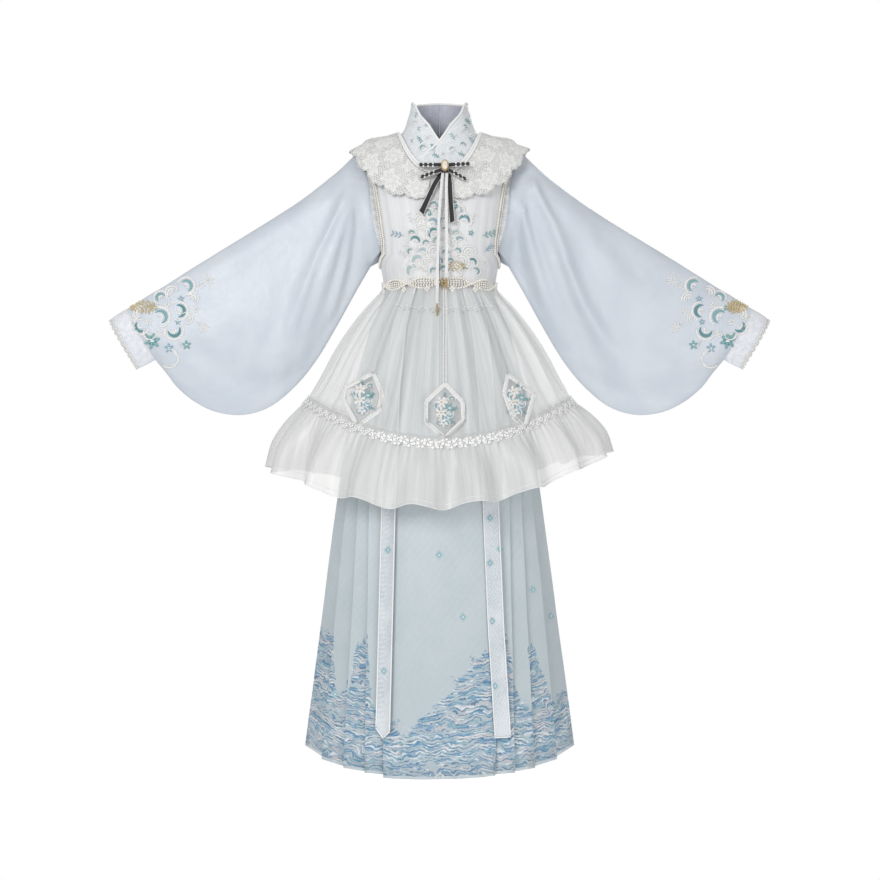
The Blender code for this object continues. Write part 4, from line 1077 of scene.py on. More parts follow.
def make_brocade(name, ground_light, ground_dark, sprig, accent, tile):
    """Woven sprigs with leaves between them, on a ground of two near colours."""
    finish = Finish(name, 0.42, Sheen_Weight=0.2, Specular_IOR_Level=0.4)
    ground = cloth_colours(finish, ground_light, ground_dark, 0.012)
    flowers = finish.rosette(tile, tile * 1.15, 5.0, 0.21, 0.09)
    hearts = finish.rosette(tile, tile * 1.15, 1.0, 0.08, 0.0)
    leaves = finish.rosette(tile * 0.5, tile * 0.57, 2.0, 0.14, 0.10, turn=1.2)
    patches = finish.spread(finish.noise(tile * 0.8, 2.0, 0.6), 0.46, 0.60)
    leaves = finish.times(leaves, patches)
    flowers = finish.times(flowers, finish.straight(patches, -0.7, 0.5))
    colour = finish.mix(leaves, ground, accent)
    colour = finish.mix(flowers, colour, sprig)
    finish.put("Base Color", finish.mix(hearts, colour, accent))
    below = finish.relief(finish.weave(0.0008), 0.00015, 0.4)
    finish.relief(finish.plus(flowers, leaves), 0.0005, 0.5, below)
    return finish.material


def make_organza(name, colour, alpha_low, alpha_high):
    """Sheer cloth whose gathers show as fine light and dark streaks that run down it."""
    finish = Finish(name, 0.42, Sheen_Weight=0.3, Sheen_Roughness=0.35, Specular_IOR_Level=0.5)
    across = finish.add("ShaderNodeAttribute", attribute_name="marks").outputs["Fac"]
    _, _, v = finish.uv()
    place = finish.add("ShaderNodeCombineXYZ", ((0, across), (1, finish.times(v, 0.025)))).outputs[0]
    fine = finish.noise(STREAK_SIZE, 2.0, 0.6, place)
    broad = finish.noise(STREAK_SIZE * 7, 1.0, 0.5, place)
    threads = finish.weave(0.0006)
    cover = finish.plus(finish.times(fine, 0.35), finish.times(broad, 0.65))
    cover = finish.plus(finish.times(threads, 0.12), cover)
    shade = finish.spread(cover, 0.35, 0.75)
    finish.put("Base Color", finish.mix(shade, shaded(colour, 0.95), colour))
    finish.put("Alpha", finish.spread(cover, 0.34, 0.80, alpha_low, alpha_high))
    finish.relief(fine, 0.0005, 0.45)
    return finish.material


def make_lace(name, tile, alpha_net):
    """Corded flowers and leaves on patches of fine net, whose holes let a little through."""
    finish = Finish(name, 0.7, Sheen_Weight=0.15, Specular_IOR_Level=0.25)
    flowers = finish.rosette(tile, tile, 7.0, 0.24, 0.07, 0.05)
    rings = finish.rosette(tile, tile, 7.0, 0.37, 0.07, 0.05)
    hearts = finish.rosette(tile, tile, 1.0, 0.09, 0.0)
    small = finish.rosette(tile * 0.31, tile * 0.27, 5.0, 0.24, 0.14, 0.07, turn=2.0)
    patches = finish.spread(finish.noise(tile * 0.9, 1.0), 0.48, 0.56)
    outline = finish.minus(rings, finish.times(flowers, 0.7))
    petals = finish.plus(outline, finish.times(hearts, 0.6))
    thread = finish.math("MAXIMUM", petals, finish.times(small, 0.8))
    net = finish.rosette(0.0042, 0.0042, 1.0, 0.24, 0.0, 0.10)
    inside_net = finish.times(patches, finish.minus(1.0, rings))
    holes = finish.times(net, finish.straight(inside_net, 0.75, 0.5))
    holes = finish.times(holes, finish.minus(1.0, finish.times(thread, 0.7)))
    lumps = finish.noise(0.0028, 3.0, 0.6)
    ground = finish.spread(lumps, 0.35, 0.65)
    ground = finish.mix(ground, shaded(LACE_WHITE, 0.87), shaded(LACE_WHITE, 1.02))
    bright = finish.mix(finish.times(thread, 0.85), ground, shaded(LACE_WHITE, 1.12))
    finish.put("Base Color", finish.mix(holes, bright, shaded(LACE_WHITE, 0.52)))
    finish.put("Alpha", finish.minus(1.0, finish.times(holes, 1.0 - alpha_net)))
    fine = finish.relief(lumps, 0.0008, 0.6)
    finish.relief(thread, 0.0010, 0.6, fine)
    return finish.material


def make_tulle(name, colour, cover):
    """Fine sheer net that hardly shows."""
    finish = Finish(name, 0.6, Sheen_Weight=0.1, Specular_IOR_Level=0.2)
    net = finish.rosette(0.0021, 0.0021, 1.0, 0.34, 0.0, 0.10)
    finish.put("Base Color", finish.mix(finish.noise(0.004), shaded(colour, 0.9), colour))
    finish.put("Alpha", finish.spread(net, 0.0, 1.0, cover, cover * 0.4))
    finish.relief(net, 0.0002, 0.4)
    return finish.material


def make_jacquard(name, light, dark, printed, contrast, scale=1.0):
    """Tone on tone scrollwork, with a printed border of clouds and waves where the cloth asks for one."""
    finish = Finish(name, 0.46, Sheen_Weight=0.18, Specular_IOR_Level=0.38)
    ground = cloth_colours(finish, light, dark, 0.07)
    _, u, v = finish.uv()
    wander = finish.times(finish.noise(0.03 * scale, 1.0), 0.05 * scale)
    scroll = finish.times(
        finish.ripple(finish.plus(u, wander), 0.016 * scale),
        finish.ripple(finish.minus(v, wander), 0.021 * scale),
    )
    damask = finish.spread(scroll, 0.0, 0.35)
    colour = finish.mix(finish.times(damask, contrast), ground, shaded(light, 1.22))
    if printed:
        colour = wave_print(finish, colour)
        hem = finish.spread(v, -0.0065, -0.0050)
        colour = finish.mix(finish.times(hem, 0.75), colour, shaded(light, 1.1))
    finish.put("Base Color", colour)
    finish.put("Roughness", finish.spread(damask, 0.0, 1.0, 0.50, 0.43))
    below = finish.relief(finish.weave(0.0009), 0.00015, 0.4)
    finish.relief(finish.noise(0.05, 3.0), 0.0020, 0.25, below)
    return finish.material


def wave_print(finish, colour):
    """Layered waves: blue crests, thin dark and white lines, and rosy cloud between them, over painted shade
    that darkens the skirt towards its hem.
    """
    _, u, v = finish.uv()
    marks = finish.add("ShaderNodeAttribute", attribute_name="marks").outputs["Fac"]
    ragged = finish.plus(marks, finish.times(finish.noise(0.034, 5.0, 0.66), 0.17))
    field = finish.spread(ragged, 0.079, 0.092)
    flat = finish.add("ShaderNodeCombineXYZ", ((0, finish.times(u, 0.42)), (1, v))).outputs[0]
    drift = finish.times(finish.noise(0.060, 2.0, 0.5), 0.055)
    eddies = finish.times(finish.noise(0.013, 3.0, 0.6), 0.013)
    tall = finish.plus(finish.plus(v, drift), eddies)

    def lines(period, phase, low, high, patch_size, patch_low, strength):
        wave = finish.spread(finish.ripple(tall, period, phase), low, high)
        patch = finish.spread(finish.noise(patch_size, 3.0, 0.6, flat), patch_low, patch_low + 0.07)
        return finish.times(finish.times(wave, patch), finish.times(field, strength))

    # Painted shade: the cloth is darkened towards the hem
    painted_hem_shade = finish.spread(v, -0.72, 0.0)
    colour = finish.mix(finish.times(painted_hem_shade, 0.55), colour, PAINTED_HEM_SHADE)
    cloud = finish.spread(finish.noise(0.030, 2.0, 0.5, flat), 0.50, 0.60)
    colour = finish.mix(finish.times(field, 0.60), colour, PRINT_GREY)
    colour = finish.mix(finish.times(finish.times(field, cloud), 0.55), colour, PRINT_PINK)
    for strokes, tint in (
        (lines(0.0190, 0.0, -0.20, 0.40, 0.0180, 0.44, 0.88), PRINT_BLUE),
        (lines(0.0120, 2.0, 0.10, 0.60, 0.0130, 0.47, 0.85), PRINT_SEA),
        (lines(0.0078, 1.1, 0.35, 0.70, 0.0150, 0.47, 0.85), PRINT_WHITE),
        (lines(0.0071, 0.3, 0.40, 0.80, 0.0110, 0.44, 0.85), PRINT_DARK),
        (lines(0.0052, 2.6, 0.55, 0.85, 0.0090, 0.50, 0.70), PRINT_PINK),
    ):
        colour = finish.mix(strokes, colour, tint)
    return colour


def make_thread(name, colour, roughness=0.4):
    """Satin stitch: fine threads side by side, across the stroke."""
    finish = Finish(name, roughness, Sheen_Weight=0.2)
    _, u, v = finish.uv()
    threads = finish.ripple(finish.plus(u, finish.times(v, 0.4)), 0.0007)
    shade = finish.spread(finish.noise(0.003, 2.0), 0.3, 0.7)
    finish.put("Base Color", finish.mix(shade, shaded(colour, 0.8), colour))
    finish.relief(threads, 0.0002, 0.6)
    return finish.material


def make_solid(name, colour, roughness, relief_size, relief_depth, **constants):
    """A plain hard or woven material with slight colour drift and fine relief."""
    finish = Finish(name, roughness, **constants)
    vector = finish.add("ShaderNodeTexCoord").outputs["Object"]
    fine = finish.noise(relief_size, 2.0, 0.5, vector)
    drift = finish.noise(relief_size * 6, 2.0, 0.5, vector)
    finish.put("Base Color", finish.mix(finish.spread(drift, 0.3, 0.7), shaded(colour, 0.86), colour))
    finish.relief(fine, relief_depth, 0.6)
    return finish.material


def black_weave(name):
    """A close-woven black ribbon's material, with its colour for painting on."""
    finish = Finish(name, 0.5, Sheen_Weight=0.3, Specular_IOR_Level=0.3)
    weave = finish.weave(0.0009)
    finish.relief(weave, 0.0003, 0.7)
    return finish, finish.mix(weave, (0.010, 0.010, 0.012), (0.035, 0.035, 0.040))


def make_black_ribbon():
    finish, black = black_weave("black_ribbon")
    finish.put("Base Color", black)
    return finish.material


def make_ladder_ribbon():
    """Ribbon of black squares edged in white, which thin black bridges join."""
    finish, black = black_weave("ladder_ribbon")
    _, u, v = finish.uv()
    height = finish.math("ABSOLUTE", finish.plus(v, LOOP_WIDTH / 2))
    step = finish.math("FRACT", finish.math("DIVIDE", finish.math("ABSOLUTE", u), LADDER_STEP))
    far = finish.math("LESS_THAN", finish.math("ABSOLUTE", u), LADDER_SQUARES * LADDER_STEP)
    gap = finish.times(far, finish.math("LESS_THAN", step, LADDER_GAP))
    bridge = finish.math("LESS_THAN", height, LADDER_BRIDGE)
    edge = finish.math("GREATER_THAN", height, LOOP_WIDTH / 2 - LADDER_EDGE)
    white = finish.math("MAXIMUM", edge, finish.times(gap, finish.minus(1.0, bridge)))
    finish.put("Base Color", finish.mix(white, black, LACE_WHITE))
    return finish.material


# Colours as linear values
SATIN_LIGHT, SATIN_DARK = (0.610, 0.655, 0.712), (0.565, 0.615, 0.682)
PRINT_BLUE, PRINT_SEA, PRINT_DARK = (0.11, 0.27, 0.43), (0.22, 0.38, 0.44), (0.06, 0.15, 0.27)
# The colour the skirt is painted towards its hem, as painted shade
PAINTED_HEM_SHADE = (0.37, 0.44, 0.475)
PRINT_WHITE, PRINT_PINK, PRINT_GREY = (0.66, 0.71, 0.73), (0.54, 0.50, 0.51), (0.35, 0.44, 0.50)
LACE_WHITE = (0.74, 0.74, 0.73)
BRIGHTEST = 0.9
STREAK_SIZE = 0.0026

# The bow's ladder ribbon: its squares, the gaps between them as a share, the bridges and the white edge
LADDER_STEP = 0.0098
LADDER_SQUARES = 3.4
LADDER_GAP = 0.34
LADDER_BRIDGE = 0.0012
LADDER_EDGE = 0.0009

LOOKS = {
    "satin": make_satin(),
    "collar": make_brocade(
        "collar_brocade", (0.80, 0.81, 0.825), (0.68, 0.72, 0.755), (0.90, 0.905, 0.91),
        (0.36, 0.56, 0.60), 0.015,
    ),
    "cuff": make_brocade(
        "cuff_brocade", (0.76, 0.775, 0.81), (0.68, 0.70, 0.755), (0.86, 0.87, 0.89),
        (0.58, 0.64, 0.70), 0.011,
    ),
    "vest": make_organza("vest_organza", (0.93, 0.93, 0.935), 0.70, 0.82),
    "clear": make_tulle("clear_organza", (0.80, 0.81, 0.81), 0.26),
    "tulle": make_tulle("seam_tulle", (0.76, 0.76, 0.75), 0.22),
    "peplum": make_organza("peplum_organza", (0.865, 0.865, 0.86), 0.42, 0.62),
    "ruffle": make_organza("ruffle_organza", (0.775, 0.775, 0.77), 0.66, 0.84),
    "frill": make_organza("frill_organza", (0.80, 0.80, 0.79), 0.45, 0.75),
    "lace": make_lace("cape_lace", 0.050, 0.80),
    "edge_lace": make_lace("edge_lace", 0.010, 0.60),
    "jacquard": make_jacquard(
        "skirt_jacquard", (0.555, 0.612, 0.635), (0.515, 0.580, 0.608), True, 0.13,
    ),
    "strap": make_jacquard("strap_jacquard", (0.61, 0.65, 0.68), (0.50, 0.55, 0.59), False, 0.45, 0.45),
    "white": make_thread("white_thread", (0.97, 0.97, 0.96), 0.5),
    "teal": make_thread("teal_thread", (0.27, 0.50, 0.52)),
    "pale_teal": make_thread("pale_teal_thread", (0.50, 0.66, 0.69)),
    "dark_teal": make_thread("dark_teal_thread", (0.13, 0.33, 0.36)),
    "blue": make_thread("blue_thread", (0.34, 0.54, 0.64)),
    "gold_thread": make_thread("gold_thread", (0.72, 0.60, 0.36), 0.4),
    "pearl": make_solid(
        "pearl", (0.88, 0.855, 0.79), 0.22, 0.004, 0.0001, Coat_Weight=0.5, Coat_Roughness=0.1,
    ),
    "gold": make_solid("antique_gold", (0.62, 0.47, 0.24), 0.32, 0.002, 0.0003, Metallic=1.0),
    "cameo": make_solid("cameo", (0.84, 0.76, 0.64), 0.35, 0.003, 0.0002, Coat_Weight=0.2),
    "ribbon": make_thread("white_ribbon", (0.95, 0.95, 0.95), 0.42),
    "black": make_black_ribbon(),
    "ladder": make_ladder_ribbon(),
    # The collar's inner face: a lining colour darkened with painted shade
    "lining": make_solid("collar_inside_painted_shade", (0.50, 0.515, 0.60), 0.45, 0.002, 0.0001),
    "white_edge": make_solid("white_edge", (0.90, 0.90, 0.90), 0.5, 0.002, 0.0002),
}


# Soft folds, listed one by one: paths in pixels of the front view, heights in metres and widths in pixels
LEFT_SLEEVE_CREASES = (
    Crease(((349, 180), (340, 210), (324, 246), (304, 288), (287, 332), (275, 366)), 0.0095, 6.0),
    Crease(((345, 206), (333, 234), (316, 268), (302, 304), (290, 342)), -0.0035, 4.5),
    Crease(((353, 180), (347, 212), (336, 246), (321, 286), (305, 330), (294, 360)), 0.0085, 6.0),
    Crease(((357, 176), (352, 208), (348, 238), (343, 272), (333, 310)), 0.0048, 3.2),
    Crease(((354, 190), (348, 226), (340, 262), (328, 300)), -0.0035, 3.4),
    Crease(((361, 190), (358, 230), (352, 270), (338, 316), (318, 354)), -0.0050, 5.5),
    Crease(((366, 200), (368, 232), (368, 258)), 0.0045, 5.0),
    Crease(((334, 200), (312, 232), (280, 274), (246, 306)), -0.0050, 13.0),
    Crease(((300, 226), (262, 260), (222, 292), (196, 304)), -0.0035, 14.0),
    Crease(((320, 196), (280, 226), (240, 250), (200, 268)), 0.0035, 10.0),
    Crease(((180, 330), (220, 372), (270, 388), (310, 372)), -0.0045, 12.0),
    Crease(((316, 262), (304, 298), (292, 336), (281, 372)), 0.0070, 5.5),
)
RIGHT_SLEEVE_CREASES = (
    Crease(((526, 166), (538, 196), (554, 224), (567, 262), (583, 304), (604, 340), (618, 360)), 0.0105, 6.0),
    Crease(((530, 192), (544, 226), (558, 262), (576, 306), (594, 340)), -0.0035, 4.5),
    Crease(((519, 180), (524, 218), (533, 256), (546, 296), (562, 338)), 0.0075, 5.0),
    Crease(((522, 176), (530, 214), (541, 252), (556, 296), (574, 344)), -0.0060, 5.0),
    Crease(((513, 190), (514, 228), (519, 266), (530, 300)), -0.0070, 5.5),
    Crease(((540, 186), (572, 236), (598, 290), (620, 334)), -0.0045, 12.0),
    Crease(((556, 196), (604, 250), (640, 296)), 0.0035, 12.0),
    Crease(((590, 226), (632, 262), (668, 296)), -0.0032, 13.0),
    Crease(((566, 366), (616, 392), (664, 396), (704, 366)), -0.0045, 12.0),
    Crease(((560, 250), (574, 288), (592, 326), (606, 350)), 0.0060, 6.0),
)
VEST_CREASES = (
    Crease(((486, 196), (484, 232), (480, 268)), 0.0016, 2.2),
    Crease(((492, 200), (491, 236), (487, 272)), 0.0014, 2.0),
    Crease(((479, 206), (476, 240), (471, 276)), 0.0010, 2.2),
    Crease(((392, 240), (396, 260), (398, 280)), 0.0012, 2.2),
    Crease(((400, 246), (404, 264), (406, 282)), 0.0010, 2.0),
    Crease(((408, 226), (412, 252), (416, 280)), 0.0008, 2.4),
    Crease(((462, 214), (460, 246), (456, 280)), 0.0008, 2.4),
)
BACK_CREASES = tuple(
    Crease(tuple((FRAME_PIXELS - x, y) for x, y in crease.path), crease.height, crease.width)
    for crease in VEST_CREASES
)


def dress_shirt():
    def top_place(angle):
        return neck_place(angle) + COLLAR_TUCK - SHIRT_TOP_RISE

    def tucked_lift(angle, place):
        return -SHIRT_TUCK * (1.0 - ease((place - top_place(angle)) / SHIRT_TUCK_FADE))

    rows = finer(SHIRT_ROWS, 3)
    for name, centre in (("shirt_front", 0.0), ("shirt_back", math.pi)):
        grid = panel_grid(rows, SHIRT_ARMHOLE, 4 * PANEL_POINTS, -1, 1, top_place, tucked_lift, centre)
        cloth(name, grid, "satin")

    turns = full_turn(WAISTBAND_COLUMNS)
    levels = (WAISTBAND_TOP_Z, (WAISTBAND_TOP_Z + SKIRT[0].z) / 2, SKIRT[0].z + SEAM_GAP)
    band = [[shirt_outside(turn, z, WAISTBAND_LIFT) for turn in turns] for z in levels]
    cloth("skirt_waistband", refined(band, 2, 1, wraps=True), "satin", wraps=True)


def fine_collar(over):
    """Half of the collar, the one that lies over the other at the front or the one below."""
    angles = []
    for low, high in zip(COLLAR_EDGE, COLLAR_EDGE[1:]):
        count = math.ceil((high.angle - low.angle) / COLLAR_COLUMN_ANGLE)
        angles += [low.angle + (high.angle - low.angle) * step / count for step in range(count)]
    angles.append(COLLAR_EDGE[-1].angle - 2 * math.degrees(SEAM_ANGLE))
    grid = []
    for step in range(COLLAR_ROWS):
        line = []
        for degrees in angles:
            angle = math.radians(degrees)
            top = between(COLLAR_EDGE, "angle", "place", degrees)
            low = neck_place(angle) + COLLAR_TUCK
            place = top + (low - top) * step / (COLLAR_ROWS - 1)
            crossed = 1.0 - ease((degrees - COLLAR_OVER_END) / COLLAR_OVER_FADE)
            line.append(on_surface(BODY, angle, place, COLLAR_OVER_LIFT * crossed if over else 0.0))
        grid.append(line)
    return grid if over else mirrored(grid)


def dress_collar():
    """Two crossed halves of padded brocade, piped along the top edge and down the front edge, with painted
    shade on the inner face.
    """
    for name, over in (("collar_right", True), ("collar_left", False)):
        grid = padded(fine_collar(over), COLLAR_PADDING, 0.5)
        # The inner face takes a lining colour darkened with painted shade
        cloth(name, grid, "collar", wall=PADDED_WALL, lined=True)
        front = [row[0 if over else -1] for row in grid]
        cords = [tube_points(edge, COLLAR_PIPING, 8) for edge in (grid[0], front)]
        cords.append(tube_points(grid[1], STITCH_CORD, 5))
        trim(name + "_piping", cords, ["ribbon"])


def vest_height(i, j, point):
    """The vest's folds, those of the front on the front and those of the back on the back."""
    behind = point.y >= 0.0
    folds = crease_height(BACK_CREASES if behind else VEST_CREASES, point, behind)
    return folds + VEST_UNEVENNESS * soft_noise(point, 0.02)


def dress_vest():
    rows = finer(VEST_ROWS, 4)
    half = 2 * PANEL_POINTS
    for name, columns, start, end, centre in (
        ("vest_front_left", half, -1.0, -VEST_CENTRE_GAP, 0.0),
        ("vest_front_right", half, VEST_CENTRE_GAP, 1.0, 0.0),
        ("vest_back", 2 * half, -1.0, 1.0, math.pi),
    ):
        grid = panel_grid(rows, VEST_ARMHOLE, columns, start, end, neck_place, vest_lift, centre)
        grid = raised(grid, vest_height)
        cloth(name, grid, "vest", wall=0.0, marks=gather_lines(grid))


def sleeve_grid(creases, side):
    """A sleeve from its armhole to its cuff, with its folds placed in the front view."""
    half = SLEEVE_HALF_POINTS
    rings = [armhole_ring(half)]
    first = sleeve_ring(SLEEVE[0], half)
    rings += [[a.lerp(b, share) for a, b in zip(rings[0], first)] for share in (0.25, 0.5, 0.75)]
    stations = finer(range(len(SLEEVE)), 8)
    rings += [sleeve_ring(section_at(SLEEVE, station), half) for station in stations]
    turned = mirrored(rings) if side == "left" else rings
    last = len(turned) - 1

    def height(i, j, point):
        calm = ease(i / 5) * ease((last - i) / 10)
        rim = min(1.0, abs(point.y) / 0.012)
        lump = crease_height(creases, point, point.y > 0.0) * rim
        drift = 0.0020 * soft_noise(point, 0.07) + 0.0009 * soft_noise(point * 1.7, 0.03)
        return calm * (lump + drift * rim)

    return raised(turned, height, wraps=True)


def cuff_rings(table, half_points, side):
    """The rings of a cuff or of its lace, on one side."""
    rings = [sleeve_ring(row, half_points) for row in table]
    return mirrored(rings) if side == "left" else rings


def dress_cuff_lace(side, cuff):
    """Scalloped lace at the end of a cuff, with cords along its rim and along the cuff's seams."""
    name = "cuff_lace_" + side
    points = CUFF_SCALLOPS * SCALLOP_POINTS
    edge = cuff_rings(CUFF_LACE, points // 2, side)
    outward = Vector((SLEEVE[-1].top_x - SLEEVE[0].top_x, 0.0, SLEEVE[-1].top_z - SLEEVE[0].top_z))
    outward.x *= -1.0 if side == "left" else 1.0
    outward.normalize()
    dips = [1.0 - abs(math.sin(math.pi * step / SCALLOP_POINTS)) ** 0.6 for step in range(points)]
    edge[-1] = [point - outward * CUFF_SCALLOP_DEPTH * dip for point, dip in zip(edge[-1], dips)]
    edge = refined(edge, 3, 1, wraps=True)
    cloth(name, edge, "edge_lace", wraps=True, wall=CUFF_LACE_WALL)
    cords = [tube_points(edge[-1], LACE_CORD, 5, closed=True)]
    cords += [tube_points(row, STITCH_CORD, 5, closed=True) for row in (cuff[-1], cuff[0])]
    trim(name + "_cord", cords, ["white"])


def dress_sleeves():
    for side, creases in (("left", LEFT_SLEEVE_CREASES), ("right", RIGHT_SLEEVE_CREASES)):
        cloth("sleeve_" + side, sleeve_grid(creases, side), "satin", wraps=True)
        cuff = refined(cuff_rings(CUFF, CUFF_HALF_POINTS, side), 8, 1, wraps=True)
        cuff = padded(cuff, CUFF_PADDING, 0.4, wraps=True)
        cloth("cuff_" + side, cuff, "cuff", wraps=True, wall=PADDED_WALL)
        dress_cuff_lace(side, cuff)


def ruffle_flutes(angle):
    """Uneven flutes of the ruffle, from -1 to 1."""
    return math.cos(17 * angle + 1.9 * math.sin(3 * angle) + 0.6)


def gathered_fine(table, gathers, wave, start, end, columns, steps, small):
    """A gathered panel with its main folds and finer gathers that fade away from the seam."""
    grid = []
    for place in finer([gather.place for gather in gathers], steps):
        line = []
        height = between(gathers, "place", "height", place)
        for step in range(columns + 1):
            angle = start + SEAM_ANGLE + (end - start - 2 * SEAM_ANGLE) * step / columns
            fine = small(angle, place)
            if table is PEPLUM and place == 0.0:
                point = on_surface(BODY, angle, WAIST, vest_lift(angle, WAIST) + fine)
                point.z -= SEAM_GAP
            else:
                point = on_surface(table, angle, place, height * wave(angle) + fine)
            if table is RUFFLE:
                share = place / (len(RUFFLE) - 1)
                point.z += RUFFLE_TILT * point.x * share
                point.z -= RUFFLE_HEM_WAVE * share * ruffle_flutes(angle)
            line.append(point)
        grid.append(line)
    return grid


def peplum_small(angle, place):
    fine = math.cos(67 * angle + 1.3 * math.sin(5 * angle)) + 0.6 * math.cos(103 * angle + 0.8)
    fade = (1.0 - ease((place - 0.4) / 3.2)) * ease(place / 0.5)
    soft = 0.0016 * math.cos(45 * angle + 1.1 * math.sin(3 * angle) + 0.25 * place) * ease(place / 3.0)
    return 0.0011 * fade * fine + soft * (1.0 - ease((place - 6.8) / 1.2))


def ruffle_small(angle, place):
    fine = math.cos(128 * angle + 1.5 * math.sin(7 * angle)) + 0.5 * math.cos(190 * angle)
    fade = (1.0 - ease((place - 0.1) / 1.3)) * ease(place / 0.15)
    soft = 0.0016 * math.cos(41 * angle + 0.5 * place) + 0.0075 * ruffle_flutes(angle)
    return 0.0013 * fade * fine + ease(place / 2.2) * soft


def dress_peplum_and_ruffle():
    peplum = (PEPLUM, PEPLUM_GATHERS, peplum_wave, peplum_small, 5, "vest_front_left_cloth")
    ruffle = (RUFFLE, RUFFLE_GATHERS, ruffle_wave, ruffle_small, 6, "peplum_front_left_cloth")
    for name, form, first, last, columns in (
        ("peplum_front_left", peplum, -1, 0, 160),
        ("peplum_front_right", peplum, 0, 1, 160),
        ("peplum_back", peplum, 1, 3, 320),
        ("ruffle_front", ruffle, -1, 1, 420),
        ("ruffle_back", ruffle, 1, 3, 420),
    ):
        table, gathers, wave, small, steps, above = form
        start, end = first * math.pi / 2, last * math.pi / 2
        grid = gathered_fine(table, gathers, wave, start, end, columns, steps, small)
        look = "peplum" if form is peplum else "ruffle"
        cloth(name, grid, look, wall=0.0, marks=gather_lines(grid))


def dress_neck():
    """The binding round the vest's neck, with a cord along each edge."""
    tape = []
    for strip in BINDING:
        line = []
        for step in range(BINDING_POINTS):
            angle = BINDING_END_ANGLE + 2 * (math.pi - BINDING_END_ANGLE) * step / (BINDING_POINTS - 1)
            place = neck_place(angle) + strip.drop
            line.append(on_surface(BODY, angle, place, vest_lift(angle, place) + strip.rise))
        tape.append(line)
    cloth("neck_binding", tape, "ribbon")
    cords = [tube_points(tape[0], BINDING_CORD, 8), tube_points(tape[2], BINDING_CORD, 8)]
    trim("neck_binding_cords", cords, ["white"])


def dress_capes():
    """A lace cape over each shoulder, with a scalloped edge that stands off the sleeve."""
    columns = CAPE_SCALLOPS * CAPE_SCALLOP_COLUMNS
    for side, shift, turned in (("right", 0.0035, list), ("left", -0.0020, mirrored)):
        grid = [[] for _ in range(CAPE_YOKE_ROWS + CAPE_EDGE_ROWS)]
        for step in range(columns + 1):
            share = step / columns
            angle = CAPE_FRONT_ANGLE + (math.pi - 0.004 - CAPE_FRONT_ANGLE) * share
            first = neck_place(angle) + CAPE_NECK_DROP
            edge = ring_point(CAPE_EDGE, angle)
            edge.z += shift * abs(math.sin(angle)) ** 4
            scallop = 1.0 - abs(math.sin(math.pi * CAPE_SCALLOPS * share))
            leaf = 0.35 * (1.0 - abs(math.sin(3 * math.pi * CAPE_SCALLOPS * share)))
            for row in range(CAPE_YOKE_ROWS):
                place = first + (SHOULDER - first) * row / (CAPE_YOKE_ROWS - 1)
                grid[row].append(on_surface(BODY, angle, place, vest_lift(angle, place) + CAPE_LIFT))
            seam = grid[CAPE_YOKE_ROWS - 1][-1]
            target = edge.lerp(seam, CAPE_SCALLOP_DEPTH * (0.8 * scallop + leaf))
            for row in range(CAPE_EDGE_ROWS):
                grid[CAPE_YOKE_ROWS + row].append(seam.lerp(target, (row + 1) / CAPE_EDGE_ROWS))
        name = "lace_cape_" + side
        cloth(name, turned(grid), "lace", wall=CAPE_WALL, fan=True)


def dress_frills():
    for part, back in (("front", False), ("back", True)):
        rows = [[] for _ in range(FRILL_ROWS)]
        for step in range(FRILL_POINTS):
            share = step / (FRILL_POINTS - 1)
            place = FRILL_START + (FRILL_END - FRILL_START) * (share if back else 1.0 - share)
            limit = armhole_limit(VEST_ARMHOLE, place)
            angle = math.pi - limit if back else limit
            base = on_surface(BODY, angle, place, vest_lift(angle, place))
            foot = on_surface(BODY, angle, place)
            normal = (on_surface(BODY, angle, place, NORMAL_STEP) - foot).normalized()
            turn = NORMAL_STEP * (-1 if back else 1)
            aside = (on_surface(BODY, angle + turn, place) - foot).normalized()
            way = (normal * 0.85 + aside * 0.5).normalized()
            reach = FRILL_WIDTH * math.sin(math.pi * (0.08 + 0.84 * share)) ** 0.6
            across = (normal * 0.5 - aside * 0.85).normalized()
            for row in range(FRILL_ROWS):
                far = row / (FRILL_ROWS - 1)
                wave = FRILL_WAVE_HEIGHT * far * math.sin(2 * math.pi * FRILL_WAVES * 2.6 * share)
                rows[row].append(base + way * (SEAM_GAP + reach * far) + across * wave)
        for side, turned in (("right", list), ("left", mirrored)):
            name = "armhole_frill_%s_%s" % (side, part)
            cloth(name, turned(rows), "frill", wall=0.0, marks=gather_lines(rows))


def skirt_marks(grid, top):
    """How far each point lies below the top of the printed border, in metres."""
    reach = [max(abs(point.x) for point in row) for row in grid]
    return [[top(point, reach[i]) - point.z for point in row] for i, row in enumerate(grid)]


def panel_top(point, reach):
    return -1.225 + 0.165 * ease((0.5 + 0.5 * point.x / reach - 0.14) / 0.86)


def pleats_top(point, reach):
    """The border starts high on some pleats and low on the pleats between them."""
    bands = ((0.80, 1.05), (0.55, 0.68)) if point.x < 0.0 else ((0.45, 0.59), (0.70, 0.81))
    place = abs(point.x) / reach
    high = max(ease((place - low) / 0.02) * ease((top - place) / 0.02) for low, top in bands)
    return -1.175 + 0.135 * high


def skirt_softness(point):
    """Slight billow of the hanging cloth, none at the waist."""
    fall = ease((-0.40 - point.z) / 0.5)
    slow = noise.noise(Vector((point.x / 0.06, point.y / 0.06, point.z / 0.35)))
    return fall * (0.0022 * slow + 0.0008 * soft_noise(point, 0.05))


def lay_skirt(name, grid, top):
    """A piece of the skirt with its billow and its printed border."""
    grid = refined(grid, 9, 3, smooth_down=False, smooth_across=False)
    grid = raised(grid, lambda i, j, p: skirt_softness(p))
    cloth(name, grid, "jacquard", marks=skirt_marks(grid, top))


def panel_line(section):
    """The right half of a flat panel's line, from its face to its tuck, as pairs of an angle and a level."""
    corners = fold_corners(PLEATS[0], section)
    end_angle, end_level = corners[2]
    gap = SEAM_GAP + SEAM_GAP * section.pleating
    last = (end_angle, min(end_level, gap))
    if section.pleating == 0.0:
        last = (corners[3][0] - SEAM_GAP / section.half_width, 0.0)
    return [corners[0], corners[1], last]


